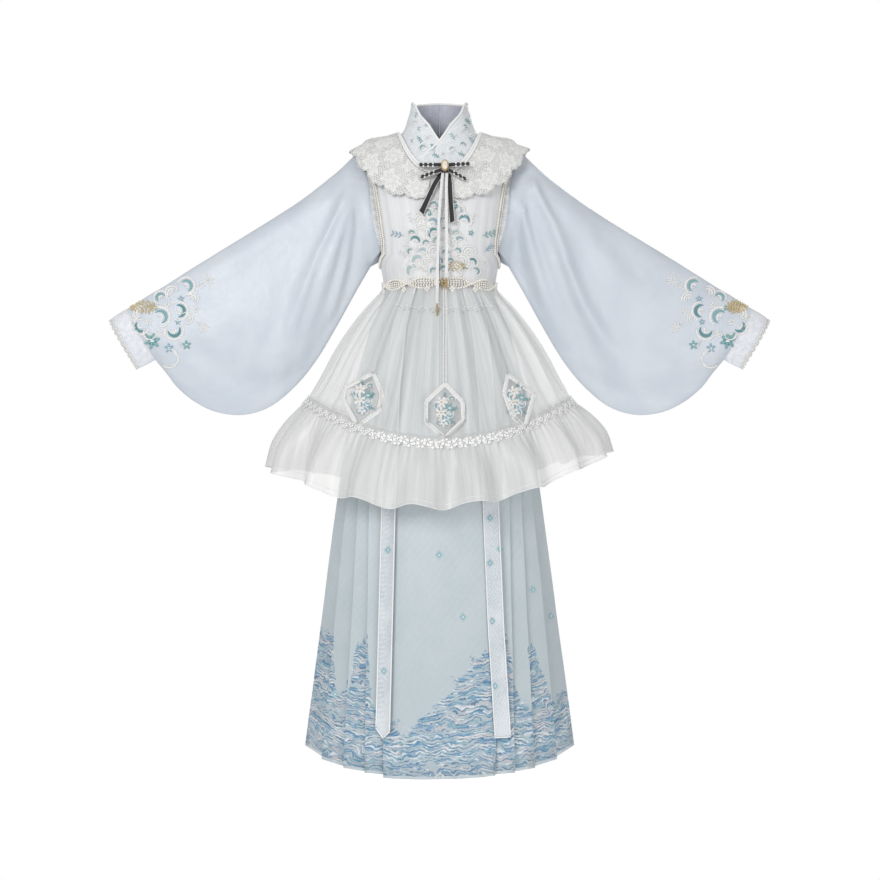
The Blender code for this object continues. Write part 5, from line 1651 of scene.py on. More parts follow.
def dress_skirt():
    for side, turned in (("left", mirrored), ("right", list)):
        lines = [(row, pleated_line(row)) for row in SKIRT]
        grid = [[skirt_point(row, angle, level) for angle, level in line] for row, line in lines]
        lay_skirt("skirt_pleats_" + side, turned(grid), pleats_top)

    for name, centre in (("skirt_front_panel", 0.0), ("skirt_back_panel", math.pi)):
        grid = []
        for section in SKIRT:
            edge = panel_line(section)
            reach = edge[0][0]
            face = [reach * (2 * step / (PANEL_COLUMNS - 1) - 1) for step in range(1, PANEL_COLUMNS - 1)]
            line = [(-angle, level) for angle, level in reversed(edge)]
            line += [(angle, PLEAT_HEIGHT * section.pleating) for angle in face] + edge
            grid.append([skirt_point(section, centre + angle, level) for angle, level in line])
        lay_skirt(name, grid, panel_top)


def dress_straps():
    """The two hanging straps: the left one is pointed and curls off the skirt."""
    for name, field, curl, point in (
        ("strap_left", "left_x", STRAP_CURL, STRAP_POINT),
        ("strap_right", "right_x", STRAP_CURL / 2, 0.0),
    ):
        lifts = [STRAP_LIFT + 0.0012 + curl * share for share in (0.0, 0.0, 0.1, 0.4, 1.0)]
        grid = []
        for hang in STRAPS:
            middle = getattr(hang, field)
            across = [middle + STRAP_HALF_WIDTH * side for side in FIVE_ACROSS]
            grid.append([skirt_face(x, hang.z, lift) for x, lift in zip(across, lifts)])
        for j, rise in enumerate((0.5, 0.25, 0.0, 0.2, 0.4)):
            grid[-1][j] += Vector((0.0, 0.0, point * rise))
        grid = refined(grid, 8, 2, smooth_down=False, smooth_across=False)
        cloth(name, grid, "strap", wall=STRAP_WALL)
        trim(name + "_piping", [tube_points(rim_of(grid), 0.0013, 6)], ["ribbon"])


dress_shirt()
dress_collar()
dress_vest()
dress_sleeves()
dress_peplum_and_ruffle()
dress_neck()
dress_capes()
dress_frills()
dress_skirt()
dress_straps()


SPRIG_PAIRS = 3
GOLDEN_ANGLE = 2.399


def cloud_scroll(work, x, y, radius, start, sweep, colour):
    """A cloud curl: a filled crescent inside white cords, with a small curl at its heart."""
    work.arc(x, y, radius * 0.66, start, sweep, radius * 0.36, colour, 1.0, 0.12)
    work.arc(x, y, radius * 1.05, start - 0.4, sweep + 0.8, radius * 0.30, WHITE, 1.0, 0.6, 0.0017)
    work.arc(x, y, radius * 0.36, start - 0.2, sweep * 1.3, radius * 0.26, WHITE, 0.45, 0.5, 0.0017)


def sprig(work, x, y, angle, length, colour):
    """A stem with paired leaves."""
    way = (math.cos(angle), -math.sin(angle))
    tip = (x + way[0] * length, y + way[1] * length)
    bend = ((x + tip[0]) / 2, (y + tip[1]) / 2 - 0.06 * length)
    work.stroke([(x, y), bend, tip], (0.5, 0.5, 0.3), colour, 0.0008)
    for i in range(SPRIG_PAIRS):
        share = (i + 0.8) / SPRIG_PAIRS
        spot = (x + way[0] * length * share, y + way[1] * length * share)
        for side in (-1.0, 1.0):
            work.petal(*spot, angle + side * 0.9, length * 0.34, length * 0.13, colour)


def gold_patch(work, x, y, count, spacing, wide, tall, petal, flip=False):
    """Gold petals in a spiral about a place in the front view, on the other side where it is flipped."""
    for i in range(count):
        turn, reach = i * GOLDEN_ANGLE, 1.0 + spacing * math.sqrt(i)
        across = x + wide * reach * math.cos(turn)
        down = y + tall * reach * math.sin(turn)
        work.petal(FRAME_PIXELS - across if flip else across, down, turn, *petal, GOLD, 0.0026)


def sew_bodice():
    """Rows of cloud curls that widen towards the waist, with a gold patch and sprigs, front and back."""
    tree = tree_of("vest_front_left", "vest_front_right", "vest_back")
    colours = (TEAL, TEAL_PALE, WHITE, BLUE, TEAL, WHITE, DARK_TEAL)
    for name, behind in (("bodice_needlework_front", False), ("bodice_needlework_back", True)):
        work = Needlework(tree, behind, 0.0006)
        count = 0
        for y, left, right, step in (
            (271.0, 413.0, 480.0, 10.4), (262.0, 418.0, 482.0, 10.8), (252.5, 411.0, 480.0, 11.6),
            (242.5, 415.0, 470.0, 11.2), (232.5, 412.0, 462.0, 11.0), (222.5, 422.0, 464.0, 10.5),
            (213.0, 428.0, 460.0, 9.6), (204.5, 434.0, 456.0, 9.0),
        ):
            x = left
            while x <= right:
                count += 1
                tilt = 0.75 * math.sin(2.4 * count) + 0.012 * (445.0 - x)
                radius = 5.8 + 1.7 * math.sin(1.7 * count)
                level = y + 1.4 * math.sin(3.1 * count)
                cloud_scroll(work, x, level, radius, tilt, math.pi, colours[count % len(colours)])
                x += step
        gold_patch(work, 456.0, 266.0, 30, 1.25, 1.0, 0.8, (2.8, 1.4))
        for x, y, radius, colour in (
            (424.0, 206.0, 2.8, WHITE), (430.0, 214.0, 2.6, TEAL), (461.0, 208.0, 2.8, WHITE),
            (466.0, 216.0, 2.6, BLUE), (471.0, 233.0, 3.0, TEAL), (417.0, 215.0, 2.4, WHITE),
            (455.0, 214.0, 2.6, WHITE), (406.0, 246.0, 2.6, WHITE), (484.0, 262.0, 2.8, WHITE),
        ):
            work.flower(x, y, radius, 5, colour, GOLD if colour == WHITE else WHITE)
        for x, y, angle, length, colour in (
            (404.0, 236.0, 2.9, 11.0, BLUE), (482.0, 236.0, 0.25, 12.0, TEAL),
            (412.0, 224.0, 1.9, 10.0, WHITE), (470.0, 224.0, 1.1, 10.0, WHITE),
            (407.0, 258.0, 2.4, 9.0, WHITE), (485.0, 252.0, 0.8, 9.0, BLUE),
            (432.0, 212.0, 1.9, 9.0, WHITE), (453.0, 210.0, 1.3, 9.0, WHITE), (438.0, 206.0, 1.6, 8.0, WHITE),
        ):
            sprig(work, x, y, angle, length, colour)
        work.finish(name, "brocade")


def sew_cuffs():
    """Cloud curls, a gold patch and flowers along the lower sleeve, front and back of both sleeves."""
    for side in ("left", "right"):
        tree = tree_of("sleeve_" + side, "cuff_" + side)
        flip = side == "right"
        for end, behind in (("front", False), ("back", True)):
            work = Needlework(tree, behind, 0.0005)

            def at(x):
                return FRAME_PIXELS - x if flip else x

            def turned(angle, sweep):
                return (math.pi - angle, -sweep) if flip else (angle, sweep)

            for x, y, radius, start, sweep, colour in (
                (160.0, 317.0, 9.4, -1.3, 3.7, TEAL),
                (178.5, 311.0, 9.0, -1.6, 3.5, DARK_TEAL),
                (186.0, 286.0, 8.2, -1.2, 3.6, TEAL),
                (141.0, 326.0, 8.0, 2.3, 3.3, DARK_TEAL),
                (174.0, 330.0, 9.0, 3.3, 3.5, DARK_TEAL),
                (161.0, 298.0, 6.6, 0.5, 3.5, TEAL),
                (191.5, 299.0, 6.4, -0.9, 3.4, WHITE),
                (150.0, 333.0, 6.2, 2.9, 3.2, TEAL),
                (172.0, 293.0, 6.4, 0.7, 3.4, WHITE),
                (187.0, 318.0, 5.6, -1.4, 3.4, WHITE),
                (141.0, 313.0, 6.6, 1.4, 3.4, WHITE),
                (161.0, 331.0, 5.2, 3.4, 3.4, WHITE),
            ):
                cloud_scroll(work, at(x), y, radius, *turned(start, sweep), colour)
            gold_patch(work, 143.5, 307.0, 46, 1.45, 1.15, 0.72, (3.2, 1.8), flip)
            work.flower(at(152.5), 341.0, 8.2, 6, TEAL, WHITE, 0.3)
            work.flower(at(152.5), 341.0, 4.6, 6, DARK_TEAL, None, 0.8)
            for x, y, radius, colour in (
                (169.0, 348.0, 4.8, BLUE), (186.5, 345.0, 4.8, TEAL), (167.0, 305.0, 3.4, WHITE),
                (178.0, 322.0, 3.2, BLUE), (149.0, 322.0, 3.6, WHITE), (133.0, 318.0, 3.2, WHITE),
                (196.0, 310.0, 3.2, WHITE), (154.0, 308.0, 3.2, TEAL), (181.0, 299.0, 3.4, BLUE),
            ):
                work.flower(at(x), y, radius, 5, colour, WHITE if colour != WHITE else GOLD, 0.4)
            work.arc(at(169.0), 359.0, 9.6, *turned(1.9, -4.2), 1.9, WHITE, 0.9, 0.6)
            work.arc(at(172.0), 359.0, 6.4, *turned(1.7, -3.6), 1.4, WHITE, 0.9, 0.6)
            for x, y, radius in ((208.0, 280.0, 6.4), (204.0, 328.0, 5.4)):
                for turn in full_turn(8):
                    work.petal(at(x), y, turn + 0.2, radius, 1.3, WHITE, 0.0009)
            for x, y, angle, length in (
                (192.0, 290.0, 0.5, 12.0), (196.0, 322.0, -0.4, 9.0), (178.0, 340.0, -1.0, 8.0),
            ):
                sprig(work, at(x), y, turned(angle, 0)[0], length, WHITE)
            work.finish("sleeve_needlework_%s_%s" % (side, end), "brocade")


def sew_collar():
    """Teal and white sprigs over the collar's brocade."""
    tree = tree_of("collar_right", "collar_left")
    work = Needlework(tree, False, 0.0004)
    for x, y, radius, start, sweep, colour in (
        (423.0, 148.0, 3.6, 0.4, 3.6, TEAL), (432.0, 151.0, 2.6, 0.2, 3.0, TEAL_PALE),
        (420.0, 129.0, 2.2, 1.4, 3.2, TEAL_PALE), (465.0, 127.0, 2.4, -1.0, 3.4, TEAL),
        (463.0, 145.0, 3.0, -0.4, 3.2, TEAL), (452.0, 149.0, 2.4, 0.5, 3.0, TEAL_PALE),
        (413.0, 141.0, 2.2, 1.6, 3.0, TEAL_PALE), (470.0, 116.0, 2.0, -1.0, 3.0, TEAL),
    ):
        cloud_scroll(work, x, y, radius, start, sweep, colour)
    for x, y, angle, length, colour in (
        (415.0, 118.0, 1.2, 7.0, TEAL_PALE), (417.0, 136.0, -0.9, 7.0, TEAL),
        (426.0, 140.0, 0.7, 6.0, WHITE), (430.0, 144.0, -0.6, 6.0, TEAL),
        (424.0, 126.0, 0.2, 5.0, TEAL_PALE), (455.0, 140.0, 2.2, 7.0, TEAL_PALE),
        (460.0, 134.0, 0.9, 7.0, WHITE), (470.0, 124.0, 2.3, 6.0, TEAL), (468.0, 137.0, -0.8, 7.0, TEAL_PALE),
        (449.0, 154.0, 0.4, 7.0, WHITE), (440.0, 158.0, 2.6, 7.0, TEAL), (458.0, 153.0, -0.4, 6.0, TEAL),
        (473.0, 111.0, 1.8, 5.0, WHITE), (411.0, 126.0, 1.0, 6.0, WHITE),
    ):
        sprig(work, x, y, angle, length, colour)
    for x, y, radius, colour in (
        (416.0, 122.0, 2.2, WHITE), (427.0, 138.0, 2.4, WHITE), (456.0, 136.0, 2.4, WHITE),
        (471.0, 136.0, 2.4, WHITE), (443.0, 154.0, 2.4, WHITE), (461.0, 152.0, 2.2, WHITE),
    ):
        work.flower(x, y, radius, 5, colour, BLUE)
    work.finish("collar_needlework_front", "brocade")
    work = Needlework(tree, True, 0.0004)
    for i in range(7):
        x = 404.0 + 12.0 * i
        cloud_scroll(work, x, 122.0 + 8.0 * (i % 2), 3.8, 0.6 * i, 3.2, (TEAL, BLUE, DARK_TEAL)[i % 3])
        work.flower(x + 4.0, 134.0 - 10.0 * (i % 2), 2.4, 5, WHITE, BLUE)
    work.finish("collar_needlework_back", "brocade")


def string_of_pearls(line, radius, pitch):
    """Beads set at an even pitch along a line."""
    beads, carry = [], 0.0
    for a, b in zip(line, line[1:]):
        span = (b - a).length
        while carry < span:
            beads.append(bead(a.lerp(b, carry / span), radius))
            carry += pitch
        carry -= span
    return beads


def waist_ring(angle, out, z):
    """A point just outside the vest at the waist."""
    point = on_surface(BODY, angle, WAIST, vest_lift(angle, WAIST) + out)
    point.z = z
    return point


def ring_spot(turn, radius_x, radius_z=None):
    """A point of a ring or an oval that stands upright and faces the front."""
    return Vector((radius_x * math.cos(turn), 0.0, (radius_z or radius_x) * math.sin(turn)))


def dress_chain():
    """Two strands of pearls that part and cross all round the waist, with a third between them."""
    beads = []
    turns = [2 * math.pi * step / CHAIN_STEPS for step in range(CHAIN_STEPS + 1)]
    around = lengths([waist_ring(turn, 0.003, CHAIN_Z) for turn in turns])
    links = round(around[-1] / CHAIN_LINK)
    for strand in CHAIN_STRANDS:
        line = []
        for turn, run in zip(turns, around):
            phase = math.pi * links * run / around[-1]
            out = 0.0030 + 0.0012 * strand * math.cos(phase)
            line.append(waist_ring(turn, out, CHAIN_Z + strand * CHAIN_SWING * math.sin(phase)))
        size = 1.0 if abs(strand) == 1.0 else 0.8
        beads += string_of_pearls(line, PEARL_RADIUS * size, PEARL_PITCH)
    for degrees in CHAIN_DROPS:
        turn = math.radians(degrees)
        drops = ((0.0, 0.009), (-0.0035, 0.0125), (0.0035, 0.0125), (0.0, 0.0165))
        for i, (aside, drop) in enumerate(drops):
            point = waist_ring(turn, 0.005 + 0.0008 * i, CHAIN_Z - drop)
            point += Vector((math.cos(turn), math.sin(turn), 0.0)) * aside
            beads.append(bead(point, PEARL_RADIUS * 1.1))
    trim("waist_chain_pearls", beads, ["pearl"], ["waist_chain"])

    front = waist_ring(0.055, 0.0065, CHAIN_Z)
    ring = [front + ring_spot(turn, CLASP_RING) for turn in full_turn(20)]
    parts = [tube_points(ring, 0.0011, 6, closed=True), bead(front, 0.0030)]
    for turn in full_turn(6):
        parts.append(bead(front + ring_spot(turn + 0.5, CLASP_BEADS), 0.0019))
    for drop, radius in ((0.0125, 0.0016), (0.0160, 0.0022), (0.0200, 0.0014)):
        parts.append(bead(front - Vector((0.0, 0.0, drop)), radius))
    trim("waist_chain_clasp", parts, ["gold"])


def armhole_line(sign, back, inset, rise):
    """A line on the vest along one armhole, at the front or the back, set in from its edge."""
    line = []
    for step in range(ARMHOLE_TRIM_STEPS + 1):
        run = (ARMHOLE_TRIM_END - ARMHOLE_TRIM_START) * step / ARMHOLE_TRIM_STEPS
        place = ARMHOLE_TRIM_START + run
        limit = armhole_limit(VEST_ARMHOLE, place) - inset
        angle = math.pi - limit if back else limit
        point = on_surface(BODY, angle, place, vest_lift(angle, place) + rise)
        line.append(Vector((point.x * sign, point.y, point.z)))
    return line


def dress_armholes():
    """A double row of beads with a white cord between them along each armhole of the vest."""
    for side, sign in (("right", 1.0), ("left", -1.0)):
        beads, cords = [], []
        for back in (False, True):
            for inset in (0.012, 0.078):
                line = armhole_line(sign, back, inset, ARMHOLE_BEAD + 0.0004)
                beads += string_of_pearls(line, ARMHOLE_BEAD, ARMHOLE_BEAD_PITCH)
            cords.append(tube_points(armhole_line(sign, back, 0.045, 0.0010), ARMHOLE_CORD, 6))
        trim("armhole_pearls_" + side, beads, ["pearl"])
        trim("armhole_cord_" + side, cords, ["white"])


# A petal of a domed flower, as shares of its half angle and its radius, and heights. The last is its middle
PETAL_FORM = (
    (-0.5, 0.35, 0.0014), (-1.0, 0.75, 0.0006), (-0.4, 1.0, 0.0004), (0.4, 1.0, 0.0004),
    (1.0, 0.75, 0.0006), (0.5, 0.35, 0.0014), (0.0, 0.68, 0.0021),
)
SEAM_COLUMNS = 360
SEAM_FLOWER_PITCH = 0.0118


def ring_flower(centre, across, up, out, radius, petals, turn):
    """A small domed flower lying on a cloth."""
    points, faces = [centre + out * 0.0012], []
    half = math.pi / petals * 0.86
    for middle in full_turn(petals):
        start = len(points)
        for aside, reach, height in PETAL_FORM:
            angle = turn + middle + half * aside
            way = across * math.cos(angle) + up * math.sin(angle)
            points.append(centre + way * radius * reach + out * height)
        ring = list(range(start, start + 6))
        for a, b in zip(ring, ring[1:]):
            faces.append((start + 6, a, b))
        faces.append((start + 6, ring[-1], 0))
        faces.append((start + 6, 0, ring[0]))
    return points, faces


def dress_seam_lace():
    """A ribbon of net over the ruffle seam, with a row of small flowers on it."""
    turns = full_turn(SEAM_COLUMNS)
    band = [[on_surface(row.table, turn, row.place, row.lift) for turn in turns] for row in SEAM_LACE]
    band = refined(band, 2, 1, wraps=True)
    cloth("seam_lace", band, "tulle", wraps=True, wall=SEAM_LACE_WALL)
    middle = band[len(band) // 2]
    normals = grid_normals(band, True)[len(band) // 2]
    run = lengths(middle, True)
    lumps = []
    count = round(run[-1] / SEAM_FLOWER_PITCH)
    index = 0
    for k in range(count):
        target = run[-1] * k / count
        while run[index + 1] < target:
            index += 1
        share = (target - run[index]) / (run[index + 1] - run[index])
        a, b = middle[index % SEAM_COLUMNS], middle[(index + 1) % SEAM_COLUMNS]
        centre, across = a.lerp(b, share), (b - a).normalized()
        out = normals[index % SEAM_COLUMNS]
        up = out.cross(across).normalized()
        shift = up * (0.0030 if k % 2 else -0.0026)
        radius = 0.0090 - 0.0034 * ease((abs(centre.x) / abs(centre.y) - 0.35) / 0.7)
        large, small = centre + shift + out * 0.0006, centre - shift * 2.2 + across * 0.005
        lumps.append(ring_flower(large, across, up, out, radius, 5, 0.3 + 0.9 * k))
        lumps.append(ring_flower(small, across, up, out, 0.0046, 5, 0.8 * k))
    trim("seam_lace_flowers", lumps, ["white"])


# The lace frames of the diamond patches in the front view, and how far their sprays lean
DIAMONDS = {
    "diamond_left": (0.35, (
        (373.5, 373.0), (382.0, 394.0), (378.5, 411.5), (357.5, 426.0), (343.0, 399.5), (345.0, 388.0),
    )),
    "diamond_centre": (0.0, (
        (445.0, 384.0), (462.5, 402.0), (463.5, 420.0), (445.0, 438.0), (426.0, 422.0), (426.0, 402.0),
    )),
    "diamond_right": (-0.3, (
        (507.5, 374.5), (534.0, 394.0), (524.5, 427.0), (512.0, 416.0), (504.0, 393.0),
    )),
}


def patch_grid(patch):
    """A diamond patch as rows of points on the peplum."""
    grid = []
    for x, z, half_width in (
        (patch.top_x, patch.top_z, PATCH_TIP),
        (patch.middle_x, patch.high_z, patch.half_width),
        (patch.middle_x, (patch.high_z + patch.low_z) / 2, patch.half_width),
        (patch.middle_x, patch.low_z, patch.half_width),
        (patch.bottom_x, patch.bottom_z, PATCH_TIP),
    ):
        across = [x + half_width * side for side in FIVE_ACROSS]
        grid.append([facing_surface(PEPLUM, place_x, z, patch.lift) for place_x in across])
    return refined(grid, 4, 3, smooth_down=False)


def sew_frame(work, corners):
    """A lace frame through the corners, with a row of knots on it."""
    for a, b in zip(corners, corners[1:] + corners[:1]):
        work.stroke([a, ((a[0] + b[0]) / 2, (a[1] + b[1]) / 2), b], (4.2, 4.2, 4.2), WHITE, 0.0008, 6)
        count = max(3, int(math.hypot(b[0] - a[0], b[1] - a[1]) / 2.6))
        for k in range(count):
            share = (k + 0.5) / count
            work.dot(a[0] + (b[0] - a[0]) * share, a[1] + (b[1] - a[1]) * share, 0.85, WHITE, 0.0024)


def dress_diamonds():
    """Sheer patches framed in lace, each with a small spray of flowers."""
    for patch in PATCHES:
        cloth(patch.name, patch_grid(patch), "clear", wall=0.0)
        work = Needlework(tree_of(patch.name, "peplum_front_left", "peplum_front_right"), False, 0.0006)
        lean, corners = DIAMONDS[patch.name]
        sew_frame(work, corners)
        x = sum(corner[0] for corner in corners) / len(corners)
        y = sum(corner[1] for corner in corners) / len(corners)
        for i in range(9):
            turn = 0.7 * i
            spot = (x + 7.0 * math.cos(turn * 2.0), y - 12.0 + 3.0 * i)
            cloud_scroll(work, *spot, 3.6, turn, 3.2, (TEAL, WHITE, BLUE)[i % 3])
        for dx, dy, radius, petals, colour, heart, turn in (
            (-3.0, -9.0, 6.4, 6, WHITE, GOLD, lean), (5.0, -3.0, 5.6, 5, TEAL, WHITE, lean),
            (-3.5, 1.5, 6.2, 6, WHITE, GOLD, 0.5), (3.6, 7.0, 5.0, 5, BLUE, WHITE, 0.2),
            (-1.0, 11.5, 4.6, 5, WHITE, TEAL, 0.9),
        ):
            work.flower(x + dx, y + dy, radius, petals, colour, heart, turn)
        for dx, dy, angle, length, colour in (
            (-6.0, -2.0, 2.4, 6.0, TEAL), (7.0, 0.0, 0.6, 6.0, DARK_TEAL), (-3.0, 8.0, 3.9, 6.0, BLUE),
            (6.0, 9.0, -0.6, 5.0, TEAL), (0.0, -12.0, 1.5, 6.0, DARK_TEAL),
        ):
            sprig(work, x + dx, y + dy, angle + lean, length, colour)
        work.finish(patch.name + "_needlework", "brocade")


def sew_peplum():
    """The narrow lace line under the waist, front and back."""
    tree = tree_of("peplum_front_left", "peplum_front_right", "peplum_back")
    for name, behind in (("peplum_needlework_front", False), ("peplum_needlework_back", True)):
        work = Needlework(tree, behind, 0.0006)
        for i in range(20):
            x = 397.0 + 4.9 * i
            y = 310.0 - 0.0016 * (x - 445.0) ** 2 + 0.8 * math.sin(2.1 * i)
            work.arc(x, y, 2.1, 0.4 * math.sin(1.3 * i), 3.0, 0.9, WHITE, 0.9, 0.5)
            work.dot(x + 2.4, y + 2.2, 0.7, TEAL_PALE if i % 3 else WHITE, 0.0010)
        work.finish(name, "brocade")


def dress_edges():
    """Rolled hems of the ruffle and the closing edges at the centre front of the peplum."""
    for name in ("ruffle_front", "ruffle_back"):
        grid, _ = GRIDS[name]
        cords = [tube_points(grid[-1], 0.0008, 5), tube_points(grid[-3], 0.0005, 4)]
        trim(name + "_hem", cords, ["white_edge"])
    work = Needlework(tree_of("peplum_front_left", "peplum_front_right"), False, 0.0005)
    for x in (443.2, 446.0):
        path = [(x, 287.0), (x + 0.2, 320.0), (x, 350.0), (x, 383.0)]
        work.stroke(path, (1.3, 1.3, 1.3, 1.3), WHITE, 0.0012, 12)
    work.finish("peplum_front_edge", "lace")


def fine_ribbon(strands, width, slant, steps):
    """A flat ribbon along its strands, with a slanted end where it has one."""
    grid = []
    for i, strand in enumerate(strands):
        before, after = strands[max(i - 1, 0)], strands[min(i + 1, len(strands) - 1)]
        along = Vector((after.x - before.x, 0.0, after.z - before.z)).normalized()
        across = Vector((-along.z, 0.0, along.x)) * (width / 2)
        middle = Vector((strand.x, strand.front_y, strand.z))
        drop = Vector((0.0, 0.0, slant if i == len(strands) - 1 else 0.0))
        grid.append([middle - across - drop, middle, middle + across + drop])
    return refined(grid, steps, 3)


def dress_loops():
    """The bow's loops: each runs out from the knot, turns back on itself and comes in behind."""
    for loop in LOOPS:
        start = KNOT_SIZE.x / 2 + SEAM_GAP
        radius = loop.depth / 2
        middle = (start + loop.reach) / 2
        path = [(start, loop.front_y), (middle, loop.front_y - LOOP_SWELL)]
        for step in range(LOOP_TURN_POINTS + 1):
            turn = math.pi * step / LOOP_TURN_POINTS
            out, behind = radius * math.sin(turn), radius - radius * math.cos(turn)
            path.append((loop.reach - radius + out, loop.front_y + behind))
        path += [(middle, loop.front_y + loop.depth), (start, loop.front_y + loop.depth - LOOP_PINCH)]
        grid = [[], [], []]
        for x, y in path:
            level = loop.start_z + (loop.end_z - loop.start_z) * (x - start) / (loop.reach - start)
            for row, high in enumerate((0.5, 0.0, -0.5)):
                grid[row].append(Vector((x, y, level + high * LOOP_WIDTH)))
        grid = mirrored(grid) if loop.mirrored else grid
        grid = refined([[point + Vector((BOW_X, 0.0, BOW_Z)) for point in row] for row in grid], 3, 3)
        cloth(loop.name, grid, "ladder", wall=RIBBON_CLOTH_WALL, ending="_ribbon")


def dress_tails():
    """The bow's tails, edged in white."""
    for name, strands in TAILS.items():
        grid = fine_ribbon(strands, TAIL_WIDTH, TAIL_SLANT if name.endswith("right") else -TAIL_SLANT, 6)
        cloth(name, grid, "black", wall=RIBBON_CLOTH_WALL, ending="_ribbon")
        trim(name + "_edge", [tube_points(rim_of(grid), 0.0005, 5)], ["white"])


def dress_ties():
    """The two hanging ties, with a gold tip of stacked beads at the end of each."""
    for name, strands in TIES.items():
        grid = fine_ribbon(strands, TIE_WIDTH, 0.0, 7)
        thing = cloth(name, grid, "ribbon", wall=TIE_WALL, ending="_ribbon")
        end = strands[-1]
        height = TIE_TIP_HEIGHT[name]
        top = Vector((end.x, end.front_y + RIBBON_WALL / 2, end.z - SEAM_GAP - RIBBON_WALL / 2))
        beads = []
        for share, radius in TIP_BEADS:
            beads.append(bead(top - Vector((0.0, 0.0, height * share)), radius, radius * 0.9))
        tip = name.replace("ribbon_tie", "tie_tip")
        ending = trim(tip + "_beads", beads, ["gold"], [tip])


def dress_knot():
    """The woven knot of the bow, rounded at its corners and pinched at its middle."""
    centre = Vector((BOW_X, KNOT_Y, BOW_Z - KNOT_DROP))
    half = KNOT_SIZE / 2
    rows = []
    for i in range(KNOT_ROWS):
        high = 1.0 - 2.0 * i / (KNOT_ROWS - 1)
        pinch = 1.0 - 0.14 * (1.0 - high * high)
        row = []
        for turn in full_turn(KNOT_COLUMNS):
            side = math.copysign(abs(math.sin(turn)) ** 0.5, math.sin(turn))
            front = -math.copysign(abs(math.cos(turn)) ** 0.5, math.cos(turn))
            ripple = 1.0 + 0.02 * math.sin(9 * turn + 3 * high)
            spot = Vector((half.x * side * pinch * ripple, half.y * front * ripple, half.z * high))
            row.append(centre + spot)
        rows.append(row)
    faces = []
    for i in range(0, (KNOT_ROWS - 1) * KNOT_COLUMNS, KNOT_COLUMNS):
        for k in range(KNOT_COLUMNS):
            n = (k + 1) % KNOT_COLUMNS
            faces.append((i + k, i + KNOT_COLUMNS + k, i + KNOT_COLUMNS + n, i + n))
    last = range((KNOT_ROWS - 1) * KNOT_COLUMNS, KNOT_ROWS * KNOT_COLUMNS)
    faces += [tuple(range(KNOT_COLUMNS)), tuple(reversed(last))]
    trim("bow_knot_ribbon", [(all_of(rows), faces)], ["black"], ["bow_knot"])


def dress_brooch():
    """An oval rim with a beaded edge, and a plain domed stone with a raised flower."""
    front = KNOT_Y - KNOT_SIZE.y / 2 - SEAM_GAP
    middle = Vector((BOW_X, front - PLATE_SIZE.z / 2, BOW_Z))
    oval = [middle + ring_spot(turn, PLATE_SIZE.x * 0.86, PLATE_SIZE.y * 0.86) for turn in full_turn(40)]
    parts = [tube_points(oval, PLATE_SIZE.z / 2, 8, closed=True)]
    for turn in full_turn(22):
        spot = ring_spot(turn, PLATE_SIZE.x * 0.97, PLATE_SIZE.y * 0.97) - Vector((0.0, 0.0004, 0.0))
        parts.append(bead(middle + spot, 0.0011))
    parts.append((oval, [tuple(range(39, -1, -1))]))
    trim("brooch_rim", parts, ["gold"], ["brooch_plate"])

    dome = Vector((BOW_X, front - PLATE_SIZE.z - SEAM_GAP - CAMEO_SIZE.y, BOW_Z))
    stone = [dome + point * CAMEO_SIZE for point in FINE_BEAD[0]], FINE_BEAD[1]
    flower = ring_flower(
        dome - Vector((0.0, CAMEO_SIZE.y * 0.97, 0.0)), Vector((1.0, 0.0, 0.0)), Vector((0.0, 0.0, 1.0)),
        Vector((0.0, -0.35, 0.0)), 0.0034, 5, 0.3,
    )
    trim("brooch_stone", [stone, flower], ["cameo"], ["brooch_cameo"])


SKIRT_LOZENGES = (
    (439, 555), (463, 617), (335, 694), (500, 549), (533, 590), (551, 616), (388, 550), (384, 671),
    (490, 518), (490, 563), (492, 621), (495, 686),
)


def sew_skirt():
    """Small woven lozenges on the skirt and its straps, front and back."""
    tree = tree_of(
        "skirt_front_panel", "skirt_back_panel", "skirt_pleats_left", "skirt_pleats_right",
        "strap_left", "strap_right",
    )
    for end, behind in (("front", False), ("back", True)):
        work = Needlework(tree, behind, 0.0003)
        for x, y in SKIRT_LOZENGES:
            for reach, colour, height in ((4.4, TEAL_PALE, 0.0), (3.2, BLUE, 0.0002), (1.2, WHITE, 0.0004)):
                path = [(x, y + reach * step) for step in FIVE_ACROSS]
                widths = [1.8 * reach * share for share in (0.05, 0.5, 1.0, 0.5, 0.05)]
                work.stroke(path, widths, colour, height, 1)
        work.finish("skirt_lozenges_" + end, "skirt_jacquard")


sew_bodice()
sew_cuffs()
sew_collar()
dress_chain()
dress_armholes()
dress_seam_lace()
dress_diamonds()
sew_peplum()
dress_edges()
dress_loops()
dress_tails()
dress_ties()
dress_knot()
dress_brooch()
sew_skirt()

WORLD_LIGHT = 0.50
LAMPS = (
    ("key", (-1.5, -3.1, 0.5), 1.3, 53.0),
    ("fill", (1.7, -3.3, -0.7), 2.4, 34.0),
    ("rim", (0.4, 2.8, 1.4), 2.0, 34.0),
)
FLOOR_Z = -1.60
FLOOR_HALF = 0.9
FLOOR_GLOW = 0.46
SENSOR_WIDTH = 36.0
PLAIN_WHITE = (1.0, 1.0, 1.0, 1.0)


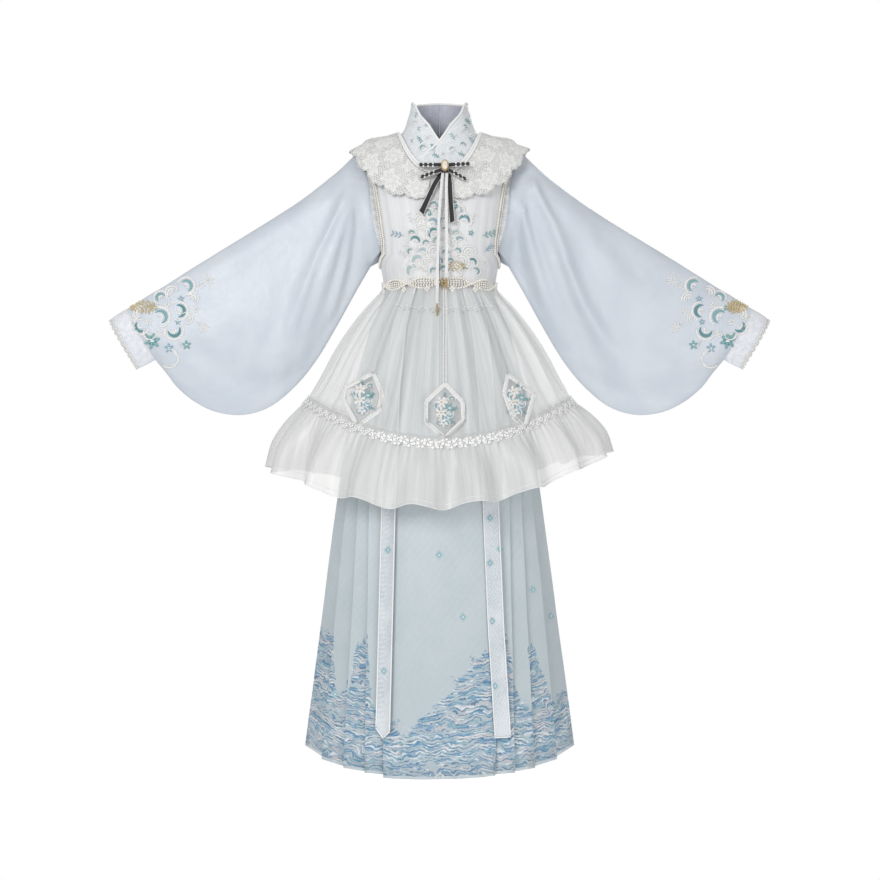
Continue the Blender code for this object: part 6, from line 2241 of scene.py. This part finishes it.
def camera_and_light():
    """The photo's camera, a white world, soft lamps and a plain pale floor."""
    camera = bpy.data.objects.new("camera", bpy.data.cameras.new("camera"))
    camera.data.sensor_width = SENSOR_WIDTH
    camera.data.angle = 2 * math.atan(HALF_FRAME * PIXEL_AT_ORIGIN / -EYE.y)
    camera.location = EYE
    camera.rotation_euler = (math.radians(90), 0.0, 0.0)
    bpy.context.scene.collection.objects.link(camera)
    bpy.context.scene.camera = camera
    bpy.context.scene.view_settings.view_transform = "Standard"

    world = bpy.data.worlds.new("studio")
    bpy.context.scene.world = world
    world.use_nodes = True
    tree = world.node_tree
    plain = tree.nodes["Background"]
    plain.inputs["Color"].default_value = PLAIN_WHITE
    plain.inputs["Strength"].default_value = WORLD_LIGHT
    backdrop = tree.nodes.new("ShaderNodeBackground")
    backdrop.inputs["Color"].default_value = PLAIN_WHITE
    backdrop.inputs["Strength"].default_value = 1.0
    path = tree.nodes.new("ShaderNodeLightPath")
    blend = tree.nodes.new("ShaderNodeMixShader")
    tree.links.new(path.outputs["Is Camera Ray"], blend.inputs[0])
    tree.links.new(plain.outputs[0], blend.inputs[1])
    tree.links.new(backdrop.outputs[0], blend.inputs[2])
    tree.links.new(blend.outputs[0], tree.nodes["World Output"].inputs[0])

    for name, place, size, power in LAMPS:
        lamp = bpy.data.lights.new(name, "AREA")
        lamp.size = size
        lamp.energy = power
        thing = bpy.data.objects.new(name, lamp)
        thing.location = place
        way = Vector((0.0, 0.0, -0.6)) - Vector(place)
        thing.rotation_euler = way.to_track_quat("-Z", "Y").to_euler()
        bpy.context.scene.collection.objects.link(thing)

    floor = bpy.data.meshes.new("floor")
    half = FLOOR_HALF
    corners = [(-half, -half, 0), (half, -half, 0), (half, half, 0), (-half, half, 0)]
    floor.from_pydata(corners, [], [(0, 1, 2, 3)])
    ground = bpy.data.objects.new("floor", floor)
    ground.location.z = FLOOR_Z
    finish = Finish("pale_floor", 0.9, Emission_Color=PLAIN_WHITE, Emission_Strength=FLOOR_GLOW)
    grain = finish.noise(0.4, 2.0, 0.5, finish.add("ShaderNodeTexCoord").outputs["Object"])
    finish.put("Base Color", finish.mix(grain, (0.90, 0.90, 0.90), (0.94, 0.94, 0.94)))
    floor.materials.append(finish.material)
    COLLECTION.objects.link(ground)


camera_and_light()
